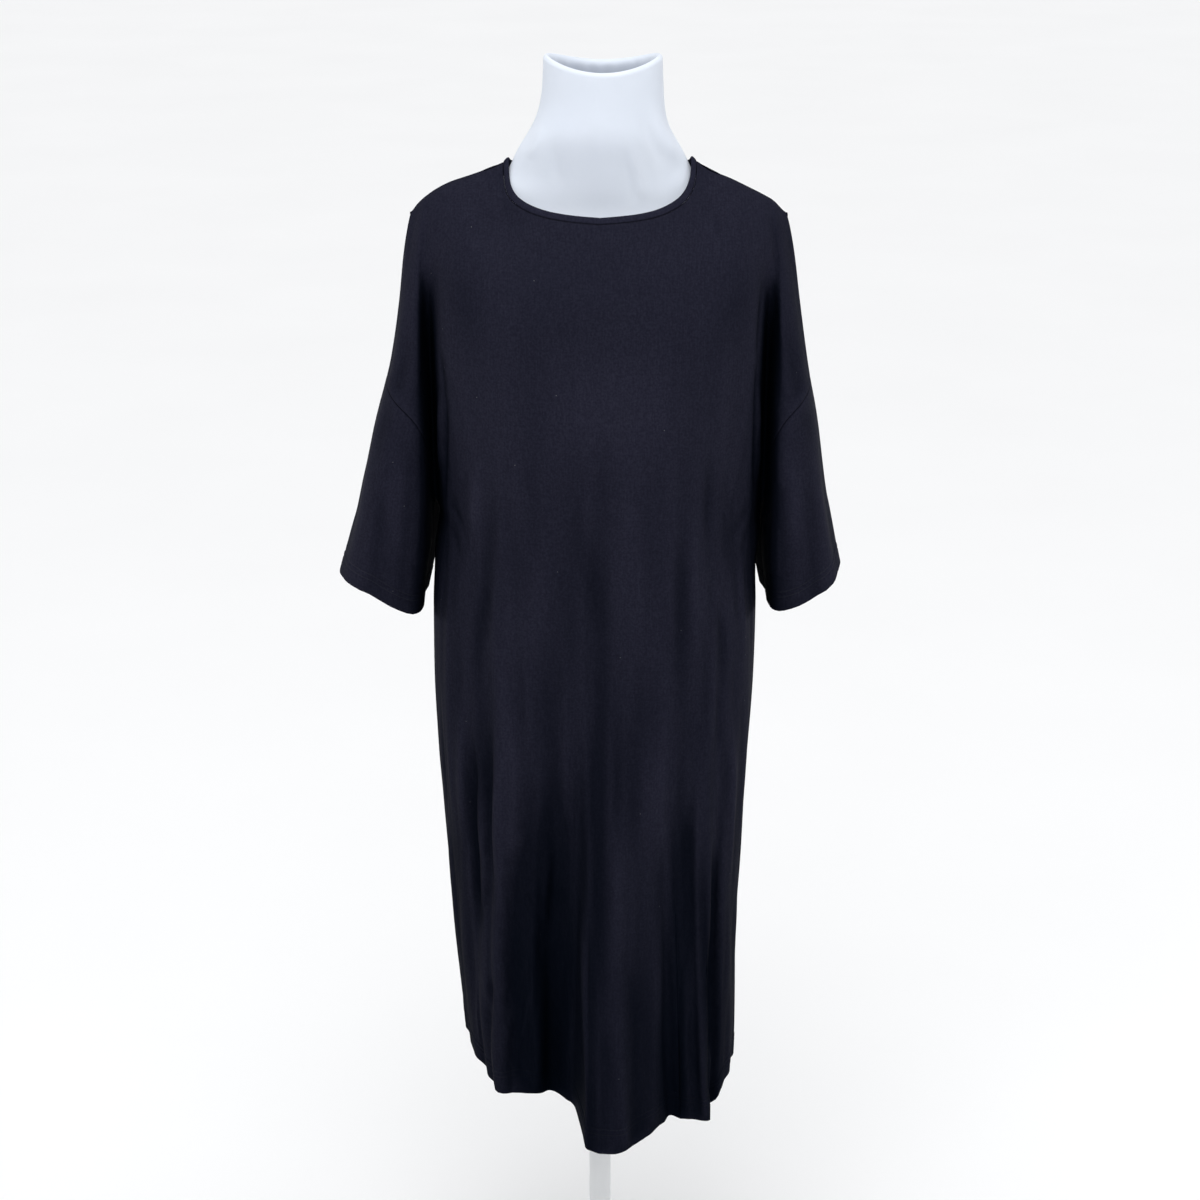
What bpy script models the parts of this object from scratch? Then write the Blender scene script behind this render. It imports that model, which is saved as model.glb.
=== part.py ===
"""A plain jersey dress of T-shirt cut, with drop shoulders and elbow-length sleeves, on a limbless dress form.

Metres, +Z up. The front faces -Y and the photo's right is +X. The origin is the centre of the stand's
underside. Tables are in millimetres, with heights measured from the high shoulder point, down negative.
"""

import math

import bpy
import numpy as np

# ---------------------------------------------------------------- driving sizes
MM = 0.001
SHOULDER_HEIGHT = 1420.0  # high shoulder point above the floor
UNDERARM = -365.0  # height of the underarm points
OVERARM_DROP = 0.56  # the drop-shoulder seam's place down the over-arm, tip to underarm level
WALL = 1.6  # cloth wall
SEAM = 0.3  # gap between sewn pieces
SIDE_GAP = 0.15  # half of that gap, each side of a seam
UNDERARM_GAP = 2.2  # half of the gap between front and back at the underarm point
MOST_THICKENED = 1.3  # where a wall turns sharply, its offset grows by up to this
PINCH_BELOW = 45.0  # how far below the underarm the side seam stays pinched
NECK_FADE = 64.0  # how far from the neck edge the cloth still bends to it

NECK_HALF = 99.0  # neck opening at the panels' edge, half its width
NECK_FRONT = 82.0  # its reach forward
NECK_BACK = 68.0  # its reach back
BAND_HEIGHT = 8.0  # neck binding
BAND_THICK = 2.4
BAND_IN = 5.0  # how far the binding leans in over its height

BASE_RADIUS = 180.0
BASE_HEIGHT = 9.0
POLE_RADIUS = 12.5
COLLAR_RADIUS = 34.0
COLLAR_HEIGHT = 46.0
TORSO_BOTTOM = -655.0

# ---------------------------------------------------------------- tables
# Plan sections of the dress. z: height; c_y: reach at the centre line; s, e, v: points round the body,
# ending at the side (above the underarm, at the bottom of the valley between body and sleeve).
BODY_COLUMNS = ("z", "c_y", "s_x", "s_y", "e_x", "e_y", "v_x", "v_y")
FRONT_LEFT = (
    (-56, -100, 99, -96, 142, -80, 168, -58),
    (-100, -108, 92, -103, 150, -77, 175, -47),
    (-150, -113, 86, -108, 157, -70, 177, -30),
    (-215, -117, 84, -111, 161, -62, 177.5, -9),
    (-290, -119, 84, -113, 161, -55, 177, -1),
    (-365, -118, 84, -112, 159, -50, 176, -0.2),
    (-378, -118, 84, -112, 158, -50, 171.5, 2),
    (-395, -118, 84, -112, 159, -50, 173, 2),
    (-430, -118, 84, -112, 161, -53, 177, 2),
    (-483, -117, 85, -112, 164, -58, 180.5, 2),
    (-560, -117, 85, -112, 165, -62, 181, 2),
    (-700, -117, 84, -112, 158, -65, 175, 2),
    (-850, -116, 82, -111, 150, -67, 166, 2),
    (-1000, -115, 78, -110, 136, -70, 156, 2),
    (-1070, -115, 76, -110, 128, -70, 152, 2),
)
FRONT_RIGHT = (
    (-56, -100, 99, -96, 142, -80, 167, -58),
    (-100, -108, 92, -103, 150, -77, 174, -47),
    (-150, -113, 86, -108, 156, -70, 175, -30),
    (-215, -117, 84, -111, 158, -62, 175, -9),
    (-290, -119, 84, -113, 157, -55, 175, -1),
    (-365, -118, 84, -112, 155, -50, 174, -0.2),
    (-378, -118, 84, -112, 154, -50, 172, 2),
    (-395, -118, 84, -112, 153, -50, 171, 2),
    (-430, -118, 84, -112, 152, -53, 167, 2),
    (-483, -117, 85, -112, 153, -60, 168.5, 2),
    (-560, -117, 86, -112, 152, -66, 167.5, 2),
    (-700, -117, 86, -112, 146, -72, 160.5, 2),
    (-850, -116, 86, -112, 140, -78, 154.5, 2),
    (-1000, -115, 86, -112, 134, -84, 151, 2),
    (-1070, -115, 86, -112, 130, -86, 149, 2),
)
BACK_LEFT = (
    (-56, 82, 99, 78, 142, 68, 168, 54),
    (-100, 94, 92, 90, 150, 70, 175, 48),
    (-150, 102, 86, 98, 156, 68, 177, 34),
    (-215, 107, 84, 102, 160, 62, 177.5, 17),
    (-290, 109, 84, 104, 161, 56, 177, 6),
    (-365, 109, 84, 104, 159, 53, 176, 4.2),
    (-378, 109, 84, 104, 158, 54, 171.5, 2),
    (-395, 109, 84, 104, 158, 54, 173, 2),
    (-430, 110, 84, 104, 159, 55, 177, 2),
    (-483, 112, 85, 106, 162, 60, 180.5, 2),
    (-560, 114, 86, 108, 163, 66, 181, 2),
    (-700, 118, 84, 112, 157, 70, 175, 2),
    (-850, 121, 80, 114, 154, 70, 166, 2),
    (-1000, 124, 76, 116, 152, 66, 156, 2),
    (-1070, 125, 74, 117, 150, 66, 152, 2),
)
BACK_RIGHT = (
    (-56, 82, 99, 78, 142, 68, 167, 54),
    (-100, 94, 92, 90, 150, 70, 174, 48),
    (-150, 102, 86, 98, 155, 68, 175, 34),
    (-215, 107, 84, 102, 158, 62, 175, 17),
    (-290, 109, 84, 104, 158, 56, 175, 6),
    (-365, 109, 84, 104, 156, 53, 174, 4.2),
    (-378, 109, 84, 104, 154, 54, 172, 2),
    (-395, 109, 84, 104, 152, 54, 171, 2),
    (-430, 110, 84, 104, 151, 55, 167, 2),
    (-483, 112, 85, 106, 152, 60, 169, 2),
    (-560, 114, 86, 108, 151, 66, 167.5, 2),
    (-700, 118, 86, 112, 145, 72, 160.5, 2),
    (-850, 121, 84, 115, 138, 76, 154.5, 2),
    (-1000, 124, 80, 118, 132, 78, 151, 2),
    (-1070, 125, 78, 119, 128, 78, 149, 2),
)
# Plan sections of the sleeves. i, m: inner and outer corners in front; o: the over-arm edge;
# n, j: outer and inner corners behind; u: the under seam, used below the underarm.
ARM_COLUMNS = ("z", "i_x", "i_y", "m_x", "m_y", "o_x", "o_y", "n_x", "n_y", "j_x", "j_y", "u_x", "u_y")
ARM_LEFT = (
    (-56, 179, -46, 188, -25, 194, 0, 188, 25, 179, 44, 176, 2),
    (-72, 181, -44, 191, -26, 198, 0, 191, 26, 181, 45, 176, 2),
    (-100, 184, -42, 196, -27, 203, 0, 196, 28, 185, 46, 176, 2),
    (-150, 186, -45, 202, -31, 209, 0, 202, 34, 188, 49, 176, 2),
    (-215, 187, -48, 210, -37, 220, 0, 211, 42, 188, 54, 176, 2),
    (-240, 187, -49, 215, -39, 226.5, 0, 215, 45, 188, 55, 176, 2),
    (-290, 187.5, -50, 224, -42, 240, 5, 225, 50, 187, 58, 176, 2),
    (-365, 189, -48, 238, -42, 257, 7, 240, 54, 178, 62, 176, 2),
    (-378, 190, -47, 240, -41, 260, 7, 243, 54, 176, 63, 178, 4),
    (-430, 194, -42, 250, -36, 276, 8, 256, 54, 181, 64, 184, 20),
    (-490, 199, -35, 262, -28, 292, 9, 268, 53, 194, 60, 193, 32),
)
ARM_RIGHT = (
    (-56, 178, -46, 187, -25, 191, 0, 187, 25, 178, 44, 174, 2),
    (-72, 180, -44, 190, -26, 195.5, 0, 190, 26, 180, 45, 174, 2),
    (-100, 183, -42, 194, -27, 201, 0, 194, 28, 184, 46, 174, 2),
    (-150, 185, -45, 201, -31, 208, 0, 201, 34, 187, 49, 174, 2),
    (-215, 186, -48, 208, -37, 218, 0, 208, 42, 186, 54, 174, 2),
    (-240, 186, -49, 211, -39, 222.5, 0, 211, 45, 185.5, 55, 174, 2),
    (-290, 186, -50, 216, -42, 232, 5, 218, 50, 184, 58, 174, 2),
    (-365, 187, -48, 225, -42, 243, 7, 228, 54, 176, 62, 174, 2),
    (-378, 187, -47, 227, -41, 246, 7, 230, 54, 172, 63, 174.6, 4),
    (-430, 188, -42, 236, -36, 257, 8, 240, 54, 171, 64, 175.5, 20),
    (-490, 190, -35, 246, -28, 271, 9, 250, 53, 181, 62, 182, 32),
)
# The shoulder ridge under the seam, by distance from the centre; inside the neck opening it is only a guide.
RIDGE_COLUMNS = ("x", "z_left", "z_right")
RIDGE = (
    (0, 38, 40),
    (47, 25, 28),
    (80, 6, 8),
    (99, -7, -6),
    (113, -13, -15),
    (133, -20, -23),
    (154, -27, -33),
    (166, -33, -39),
    (178, -41, -46),
    (187, -49, -55),
    (194, -58, -62),
)
# How the shoulder rounds over: depth of the rounding in front and behind, and its squareness.
ROUND_COLUMNS = ("x", "front", "back", "square")
ROUND = ((0, 180, 68, 1.25), (95, 175, 72, 1.3), (150, 150, 105, 1.7), (194, 120, 120, 1.8))
# Neck edge heights of the panels by angle from the front, left and right, and the binding above them.
NECK_COLUMNS = ("angle", "z_left", "z_right")
NECK_EDGE = ((0, -54.5, -54.5), (30, -51, -51), (58, -43, -41), (76, -32, -27), (90, -7.5, -6.5), (104, -13, -12.5), (125, -20, -20), (150, -24, -24), (180, -25, -25))
# Hem heights by place round the dress (0 centre, 1 s, 2 e, 3 side).
HEM_COLUMNS = ("t", "front_left", "front_right", "back_left", "back_right")
HEM = (
    (0.0, -1068, -1068, -1036, -1036),
    (0.2, -1065, -1068, -1035, -1038),
    (0.36, -1049, -1066, -1033, -1041),
    (0.6, -1042, -1064, -1031, -1043),
    (0.9, -1034, -1063, -1028, -1046),
    (1.3, -1033, -1066, -1020, -1047),
    (1.75, -1028, -1068, -1012, -1044),
    (2.0, -1017, -1064, -1008, -1040),
    (2.2, -1009, -1044, -1005, -1036),
    (2.5, -1003, -1030, -1003, -1030),
    (3.0, -999, -1021, -999, -1021),
)
# Cuff heights by place round the sleeve (3 under seam, 4 i, 5 m, 6 o, 7 n, 8 j, 9 under seam).
CUFF_COLUMNS = ("t", "left", "right")
CUFF = ((3, -486, -482), (4, -486, -482), (5, -460, -461), (6, -452, -443), (7, -464, -456), (8, -482, -478), (9, -486, -482))
# The largest folds, by distance round the dress from the centre front (or back), photo-left negative. A fold
# rises over its left flank, stays up, and falls over its right one; negative heights are valleys.
FOLD_COLUMNS = ("side", "z_top", "left_top", "left_hem", "right_top", "right_hem", "flank_left", "flank_right", "height", "power")
FOLDS = (
    ("front", -520, -22, -30, 62, 84, 13, 66, 58, 1.45),  # centre flute
    ("front", -560, -60, -84, -16, -24, 42, 10, -14, 1.2),  # valley on its left
    ("front", -590, 58, 72, 78, 92, 12, 14, -12, 1.0),  # valley on its right
    ("front", -480, 102, 104, 124, 130, 16, 8, 10, 0.8),  # right ridge
    ("front", -480, 124, 130, 140, 148, 7, 9, -9, 0.8),  # narrow valley beyond it
    ("front", -330, -122, -126, -96, -100, 13, 13, 8, 0.7),  # left ridge
    ("front", -430, -168, -160, -138, -134, 12, 12, -6, 0.7),  # small valley near the left side
    ("back", -420, -96, -112, -40, -36, 26, 22, 30, 1.3),  # back flutes
    ("back", -480, 20, 16, 86, 92, 24, 30, 26, 1.3),
    ("back", -520, -34, -34, 14, 14, 18, 18, -16, 1.1),
    ("back", -430, 118, 124, 146, 152, 14, 12, 10, 1.0),
)
# The form: c_x its centre, half its width, reach in front and behind, squareness of the section.
TORSO_COLUMNS = ("z", "c_x", "half", "front", "back", "square")
TORSO = (
    (-655, 0, 128, 78, 82, 2.2),
    (-652, 0, 137, 86, 90, 2.2),
    (-640, 0, 143, 92, 95, 2.2),
    (-600, 0, 147, 95, 99, 2.2),
    (-540, 0, 144, 93, 97, 2.2),
    (-480, 0, 134, 88, 88, 2.2),
    (-420, 0, 127, 86, 82, 2.2),
    (-360, 0, 131, 92, 84, 2.2),
    (-290, 0, 141, 102, 90, 2.25),
    (-215, 0, 148, 103, 94, 2.3),
    (-150, 0, 154, 98, 92, 2.3),
    (-110, 0, 160, 88, 86, 2.3),
    (-88, 0, 163, 76, 78, 2.2),
    (-70, 0, 158, 62, 68, 2.1),
    (-54, 0, 141, 46, 60, 1.75),
    (-40, 0, 118, 42, 54, 1.65),
    (-28, 0, 103, 42, 52, 1.6),
    (-20, 0, 97, 42, 52, 1.6),
    (-14, 0, 93, 43, 52, 1.6),
    (-8, 0, 90, 44, 52, 1.65),
    (-3, 0, 89, 45, 52, 1.7),
    (4, 0, 86, 47, 52, 1.75),
    (11, 0, 81.5, 49, 52, 1.8),
    (22, 0, 74, 54, 53, 1.9),
    (38, 1, 66, 53, 53, 2.0),
    (58, 3, 61.5, 52, 53, 2.0),
    (80, 3, 60.5, 53, 54, 2.0),
    (87, 3, 60, 53, 54, 2.0),
)
NECK_EARS = 12.0  # how much higher the neck's top stands at its left and right than in front
NECK_RIM = 6.0  # width of the rounded rim
NECK_RECESS = 22.0  # depth of the hollow in the neck's top

# Columns and rows of the panels' grids.
HALF_COLUMNS_LEFT = (0.0, 0.2, 0.34, 0.52, 0.76, 1.0, 1.2, 1.42, 1.7, 2.0, 2.3, 2.6, 2.82, 3.0)
HALF_COLUMNS_RIGHT = (0.0, 0.32, 0.6, 0.82, 1.0, 1.2, 1.42, 1.6, 1.8, 2.0, 2.3, 2.6, 2.82, 3.0)
TOP_ROWS = (0.0, 0.022, 0.06, 0.11, 0.175, 0.25, 0.33, 0.41, 0.485, OVERARM_DROP)
SEAM_STEPS = (0.955, 0.90, 0.83, 0.74, 0.61, 0.44, 0.23, 0.0)
LOW_ROWS = (0.075, 0.16, 0.25, 0.34, 0.43, 0.52, 0.61, 0.70, 0.78, 0.86, 0.935, 1.0)
WING_STEPS = 4
SLEEVE_ROWS = (0.0, 0.16, 0.34, 0.52, 0.70, 0.86, 1.0)


# ---------------------------------------------------------------- curves
class Table:
    """Smooth monotone interpolation of a table's columns by its first one."""

    def __init__(self, columns, rows):
        rows = sorted(rows)
        data = np.array(rows, float)
        self.x, self.columns = data[:, 0], columns[1:]
        self.y = data[:, 1:]
        h = np.diff(self.x)[:, None]
        d = np.diff(self.y, axis=0) / h
        m = np.zeros_like(self.y)
        m[0], m[-1] = d[0], d[-1]
        if len(rows) > 2:
            w1, w2 = 2 * h[1:] + h[:-1], h[1:] + 2 * h[:-1]
            same = d[:-1] * d[1:] > 0
            safe = np.where(same, d[:-1], 1.0), np.where(same, d[1:], 1.0)
            m[1:-1] = np.where(same, (w1 + w2) / (w1 / safe[0] + w2 / safe[1]), 0.0)
        self.h, self.m = h[:, 0], m

    def __call__(self, x):
        x = np.clip(np.asarray(x, float), self.x[0], self.x[-1])
        k = np.clip(np.searchsorted(self.x, x, side="right") - 1, 0, len(self.h) - 1)
        h = self.h[k]
        u = (x - self.x[k]) / h
        u2, u3 = u * u, u * u * u
        parts = (2 * u3 - 3 * u2 + 1), (u3 - 2 * u2 + u) * h, (3 * u2 - 2 * u3), (u3 - u2) * h
        y = (
            parts[0][..., None] * self.y[k]
            + parts[1][..., None] * self.m[k]
            + parts[2][..., None] * self.y[k + 1]
            + parts[3][..., None] * self.m[k + 1]
        )
        return {name: y[..., i] for i, name in enumerate(self.columns)}


def smooth(x):
    x = np.clip(x, 0.0, 1.0)
    return x * x * (3 - 2 * x)


def length(v):
    return np.sqrt(np.maximum((v * v).sum(-1, keepdims=True), 1e-12))


def tangent(before, here, after):
    """The slope at a point of a curve whose parameter is the square root of distance."""
    d0, d1 = np.sqrt(length(here - before)), np.sqrt(length(after - here))
    return ((after - here) / d1 * d0 + (here - before) / d0 * d1) / (d0 + d1)


def hermite(p0, p1, m0, m1, u):
    d = np.sqrt(length(p1 - p0))
    u = u[..., None]
    u2, u3 = u * u, u * u * u
    return (2 * u3 - 3 * u2 + 1) * p0 + (u3 - 2 * u2 + u) * d * m0 + (3 * u2 - 2 * u3) * p1 + (u3 - u2) * d * m1


TABLES = {
    ("front", -1): Table(BODY_COLUMNS, FRONT_LEFT),
    ("front", 1): Table(BODY_COLUMNS, FRONT_RIGHT),
    ("back", -1): Table(BODY_COLUMNS, BACK_LEFT),
    ("back", 1): Table(BODY_COLUMNS, BACK_RIGHT),
    ("arm", -1): Table(ARM_COLUMNS, ARM_LEFT),
    ("arm", 1): Table(ARM_COLUMNS, ARM_RIGHT),
}
RIDGE_TABLE = Table(RIDGE_COLUMNS, RIDGE)
ROUND_TABLE = Table(ROUND_COLUMNS, ROUND)
NECK_TABLE = Table(NECK_COLUMNS, NECK_EDGE)
HEM_TABLE = Table(HEM_COLUMNS, HEM)
CUFF_TABLE = Table(CUFF_COLUMNS, CUFF)


def xy(x, y):
    return np.stack(np.broadcast_arrays(x, y), -1).astype(float)


def knots(z):
    """Every section point at heights z, by name and side."""
    f = {s: TABLES["front", s](z) for s in (-1, 1)}
    b = {s: TABLES["back", s](z) for s in (-1, 1)}
    a = {s: TABLES["arm", s](z) for s in (-1, 1)}
    out = {"cf": xy(0 * f[1]["c_y"], f[1]["c_y"]), "cb": xy(0 * b[1]["c_y"], b[1]["c_y"])}
    for s in (-1, 1):
        out["s", s], out["e", s] = xy(s * f[s]["s_x"], f[s]["s_y"]), xy(s * f[s]["e_x"], f[s]["e_y"])
        out["S", s], out["E", s] = xy(s * b[s]["s_x"], b[s]["s_y"]), xy(s * b[s]["e_x"], b[s]["e_y"])
        # below the underarm the two ends of a side lie either side of its seam
        low = z < UNDERARM
        half = np.where(low, SIDE_GAP + (UNDERARM_GAP - SIDE_GAP) * smooth((z - UNDERARM + 25) / 25), 0.0)
        out["v", s] = xy(s * f[s]["v_x"], np.where(low, 2.0 - half, f[s]["v_y"]))
        out["w", s] = xy(s * b[s]["v_x"], np.where(low, 2.0 + half, b[s]["v_y"]))
        for k in "imonj":
            out[k, s] = xy(s * a[s][k + "_x"], a[s][k + "_y"])
        # the sleeve's under seam starts at the same points and parts from the body below the underarm
        under = xy(s * a[s]["u_x"], a[s]["u_y"] - UNDERARM_GAP), xy(s * a[s]["u_x"], a[s]["u_y"] + UNDERARM_GAP)
        out["u", s] = np.where(low[:, None], under[0], out["v", s])
        out["U", s] = np.where(low[:, None], under[1], out["w", s])
        out["pinch"] = smooth((z - UNDERARM + PINCH_BELOW) / PINCH_BELOW)[:, None]
    return out


def body(k, side, tau):
    """A point of the loop round the body; tau 0 to 3 runs from the centre front to the side, 9 to 12 from the
    side to the centre back. Above the underarm the side is the bottom of a valley, so the curve turns out there."""
    mid = (k["v", side] + k["w", side]) / 2
    get = lambda n, s=side: k[n, s]
    ring = np.stack([get("s", -side), k["cf"], get("s"), get("e"), mid, get("E"), get("S"), k["cb"], get("S", -side)], 0)
    back = tau > 6
    m = np.where(back, tau - 6, tau)
    n = np.clip(np.floor(m).astype(int), 0, 5)
    n = np.where(back, np.maximum(n, 3), np.minimum(n, 2))
    u = m - n
    i = np.arange(len(tau))
    opens, closes = (n == 3)[:, None], (n == 2)[:, None]
    start = np.where(opens, k["w", side], ring[n + 1, i])
    end = np.where(closes, k["v", side], ring[n + 2, i])
    m0 = tangent(ring[n, i], ring[n + 1, i], ring[n + 2, i])
    m1 = tangent(ring[n + 1, i], ring[n + 2, i], ring[np.minimum(n + 3, 8), i])
    pinch = k["pinch"]
    m0 = np.where(opens, m0 + (tangent(k["j", side], k["w", side], k["E", side]) - m0) * pinch, m0)
    m1 = np.where(closes, m1 + (tangent(k["e", side], k["v", side], k["i", side]) - m1) * pinch, m1)
    return hermite(start, end, m0, m1, u)


def arm(k, side, tau):
    """A point of the loop round one sleeve; tau 3 and 9 are its under seam, or above the underarm the valleys."""
    mid = (k["u", side] + k["U", side]) / 2
    ring = np.stack([k["j", side], mid] + [k[x, side] for x in "imonj"] + [mid, k["i", side]], 0)
    n = np.clip(np.floor(tau - 3).astype(int), 0, 5)
    u = tau - 3 - n
    i = np.arange(len(tau))
    opens, closes = (n == 0)[:, None], (n == 5)[:, None]
    start = np.where(opens, k["u", side], ring[n + 1, i])
    end = np.where(closes, k["U", side], ring[n + 2, i])
    m0 = tangent(ring[n, i], ring[n + 1, i], ring[n + 2, i])
    m1 = tangent(ring[n + 1, i], ring[n + 2, i], ring[n + 3, i])
    pinch = k["pinch"]
    m0 = np.where(opens, m0 + (tangent(k["e", side], k["u", side], k["i", side]) - m0) * pinch, m0)
    m1 = np.where(closes, m1 + (tangent(k["j", side], k["U", side], k["E", side]) - m1) * pinch, m1)
    return hermite(start, end, m0, m1, u)


def section(k, side, tau, wing):
    inner = np.where(tau < 6, np.minimum(tau, 3.0), np.maximum(tau, 9.0))
    return np.where(np.asarray(wing)[:, None], arm(k, side, np.clip(tau, 3.0, 9.0)), body(k, side, inner))


def ridge(x, side):
    return RIDGE_TABLE(np.abs(x))["z_left" if side < 0 else "z_right"]


def over_shoulder(p, z, side):
    """Bend sections over the shoulder: their reach grows from nothing at the ridge."""
    ax = np.abs(p[:, 0])
    r = ROUND_TABLE(ax)
    deep = np.where(p[:, 1] < 0, r["front"], r["back"])
    h = np.clip((ridge(p[:, 0], side) - z) / deep, 0.0, 1.0)
    p[:, 1] *= (1 - (1 - h) ** 2) ** (1 / r["square"])
    return p


def neck_point(angle, side, lift=0.0):
    """A point on the neck edge (lift 0) or up the binding (lift 1); angle 0 is front, 180 back."""
    a = np.radians(angle)
    front = np.cos(a) > 0
    half = NECK_HALF - BAND_IN * lift
    reach = np.where(front, NECK_FRONT, NECK_BACK) - BAND_IN * lift
    z = NECK_TABLE(angle)["z_left" if side < 0 else "z_right"]
    rise = math.sqrt(BAND_HEIGHT**2 - BAND_IN**2)
    return np.stack([side * half * np.sin(a), -reach * np.cos(a), z + rise * lift], -1)


def neck_angle(t):
    return 90.0 * (0.5 * t + 0.5 * np.arcsin(np.clip(t, 0, 1)) * 2 / math.pi)


def top_edge(side, tau):
    """The panel's top edge at tau, as (x, y, z): the neck edge, then the shoulder ridge."""
    front = tau < 6.0
    t = np.where(front, tau, 12 - tau)
    p = section(knots(np.full_like(tau, -56.0)), side, tau, (tau > 3) & (tau < 9))
    ridge_z = ridge(p[:, 0], side)
    angle = neck_angle(np.minimum(t, 1.0))
    n = neck_point(np.where(front, angle, 180 - angle), side)
    out = np.stack([p[:, 0], np.zeros_like(tau), ridge_z], -1)
    return np.where((t < 1.0)[:, None], n, out)


def surface(side, tau, z, wing):
    """A point of the dress at place tau (0 to 12 round one half) and height z. wing marks what lies past the
    valley, on the sleeve's side. No neck edge and no folds yet."""
    tau, z = np.asarray(tau, float), np.asarray(z, float)
    return over_shoulder(section(knots(z), side, tau, wing), z, side)


def arc_lookup():
    """Distance round the body from the centre line, by height and place, for placing folds."""
    out = {}
    zs = np.linspace(-1080, -56, 33)
    t = np.linspace(0, 3, 61)
    for part, side in (("front", -1), ("front", 1), ("back", -1), ("back", 1)):
        rows = []
        for z in zs:
            tau = t if part == "front" else 12 - t
            p = body(knots(np.full_like(t, z)), side, tau)
            step = length(np.diff(p, axis=0))[:, 0]
            rows.append(np.concatenate([[0], np.cumsum(step)]))
        out[part, side] = np.array(rows)
    return zs, t, out


ARC_Z, ARC_T, ARC = arc_lookup()


def arc(part, side, t, z):
    g = ARC[part, side]
    fz = np.clip((z - ARC_Z[0]) / (ARC_Z[1] - ARC_Z[0]), 0, len(ARC_Z) - 1.001)
    ft = np.clip((t - ARC_T[0]) / (ARC_T[1] - ARC_T[0]), 0, len(ARC_T) - 1.001)
    a, b = fz.astype(int), ft.astype(int)
    u, v = fz - a, ft - b
    top = g[a, b] * (1 - v) + g[a, b + 1] * v
    bottom = g[a + 1, b] * (1 - v) + g[a + 1, b + 1] * v
    return side * (top * (1 - u) + bottom * u)


def fold_height(part, place, z, folds=FOLDS, z_hem=-1065.0):
    out = np.zeros_like(z)
    for row in folds:
        f = dict(zip(FOLD_COLUMNS, row))
        if f["side"] != part:
            continue
        d = np.clip((f["z_top"] - z) / (f["z_top"] - z_hem), 0, 1.1)
        left = f["left_top"] + (f["left_hem"] - f["left_top"]) * d
        right = f["right_top"] + (f["right_hem"] - f["right_top"]) * d
        rise = smooth((place - left) / f["flank_left"])
        fall = smooth((right - place) / f["flank_right"])
        out += f["height"] * d ** f["power"] * rise * fall
    return out


def neck_curve(side, back):
    """The neck edge by its unshifted x and its z, and the shift that brings the section there onto it."""
    t = np.sin(np.linspace(0, math.pi / 2, 90)) * 0.999999
    tau = 12 - t if back else t
    edge = top_edge(side, tau)
    base = surface(side, tau, np.minimum(edge[:, 2], 60), np.zeros(len(t), bool))
    return base[:, 0], edge[:, 2], edge[:, :2] - base


NECK_CURVES = {(s, b): neck_curve(s, b) for s in (-1, 1) for b in (False, True)}


def neck_shift(side, back, x, z):
    """The neck edge's shift, dying away with the distance from the edge."""
    ex, ez, shift = NECK_CURVES[side, back]
    d = np.hypot(x[:, None] - ex, z[:, None] - ez)
    least = d.min(1, keepdims=True)
    weight = np.exp(-(d - least) / 2.0)
    weight /= weight.sum(1, keepdims=True)
    return weight @ shift * (1 - smooth(least / NECK_FADE))


def dress_point(side, tau, z, wing=None, folds=True):
    """A point of the finished dress, in millimetres, with z from the high shoulder point."""
    tau, z = np.atleast_1d(np.asarray(tau, float)), np.atleast_1d(np.asarray(z, float))
    tau, z = np.broadcast_arrays(tau, z)
    wing = np.zeros(tau.shape, bool) if wing is None else np.broadcast_to(wing, tau.shape)
    p = surface(side, tau, z, wing)
    out = np.concatenate([p, z[:, None]], 1)
    t = np.where(tau < 6, tau, 12 - tau)
    # the neck edge: shift what hangs near it so that its top lies on the edge
    for back in (False, True):
        near = ((tau > 6) == back) & (z > -190) & ~wing
        if near.any():
            out[near, :2] += neck_shift(side, back, p[near, 0], z[near])
    if folds:
        low = (t <= 3.0) & (z < -300)
        if low.any():
            for part, is_part in (("front", tau < 6), ("back", tau > 6)):
                pick = low & is_part & ~wing
                if pick.any():
                    h = fold_height(part, arc(part, side, t[pick], z[pick]), z[pick])
                    s = 1 if part == "front" else -1
                    e = 0.01
                    tt = np.clip(t[pick], e, 3 - e)
                    k = knots(z[pick])
                    a = body(k, side, tt + e if part == "front" else 12 - tt - e)
                    b = body(k, side, tt - e if part == "front" else 12 - tt + e)
                    d = a - b
                    d /= length(d)
                    normal = np.stack([-d[:, 1] * -side * s, d[:, 0] * -side * s], -1)
                    normal = np.where(((normal * p[pick]).sum(-1) < 0)[:, None], -normal, normal)
                    # folds die away at the side seams
                    edge = smooth((3.0 - t[pick]) / 0.35)
                    out[pick, :2] += normal * (h * edge)[:, None]
    return out


def top_z(side, tau):
    return top_edge(side, np.atleast_1d(np.asarray(tau, float)))[:, 2]


def hem_z(side, tau):
    tau = np.atleast_1d(np.asarray(tau, float))
    front = tau < 6
    row = HEM_TABLE(np.where(front, tau, 12 - tau))
    part = "left" if side < 0 else "right"
    return np.where(front, row["front_" + part], row["back_" + part])


def seam_reach(q):
    """How far past the valley the drop-shoulder seam lies: 3 places at the over-arm (q 1), none at the underarm."""
    return 3.0 * (0.6 * q**4 + 0.4 * q)


def top_rows():
    return np.array(list(TOP_ROWS) + [1 - q * (1 - OVERARM_DROP) for q in SEAM_STEPS])


def wing_reach(r):
    q = np.clip((1 - r) / (1 - OVERARM_DROP), 0, 1)
    return np.where(r <= OVERARM_DROP, 3.0, seam_reach(q))


# ---------------------------------------------------------------- meshes
def world(points):
    p = np.asarray(points, float) * MM
    p[..., 2] += SHOULDER_HEIGHT * MM
    return p


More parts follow.
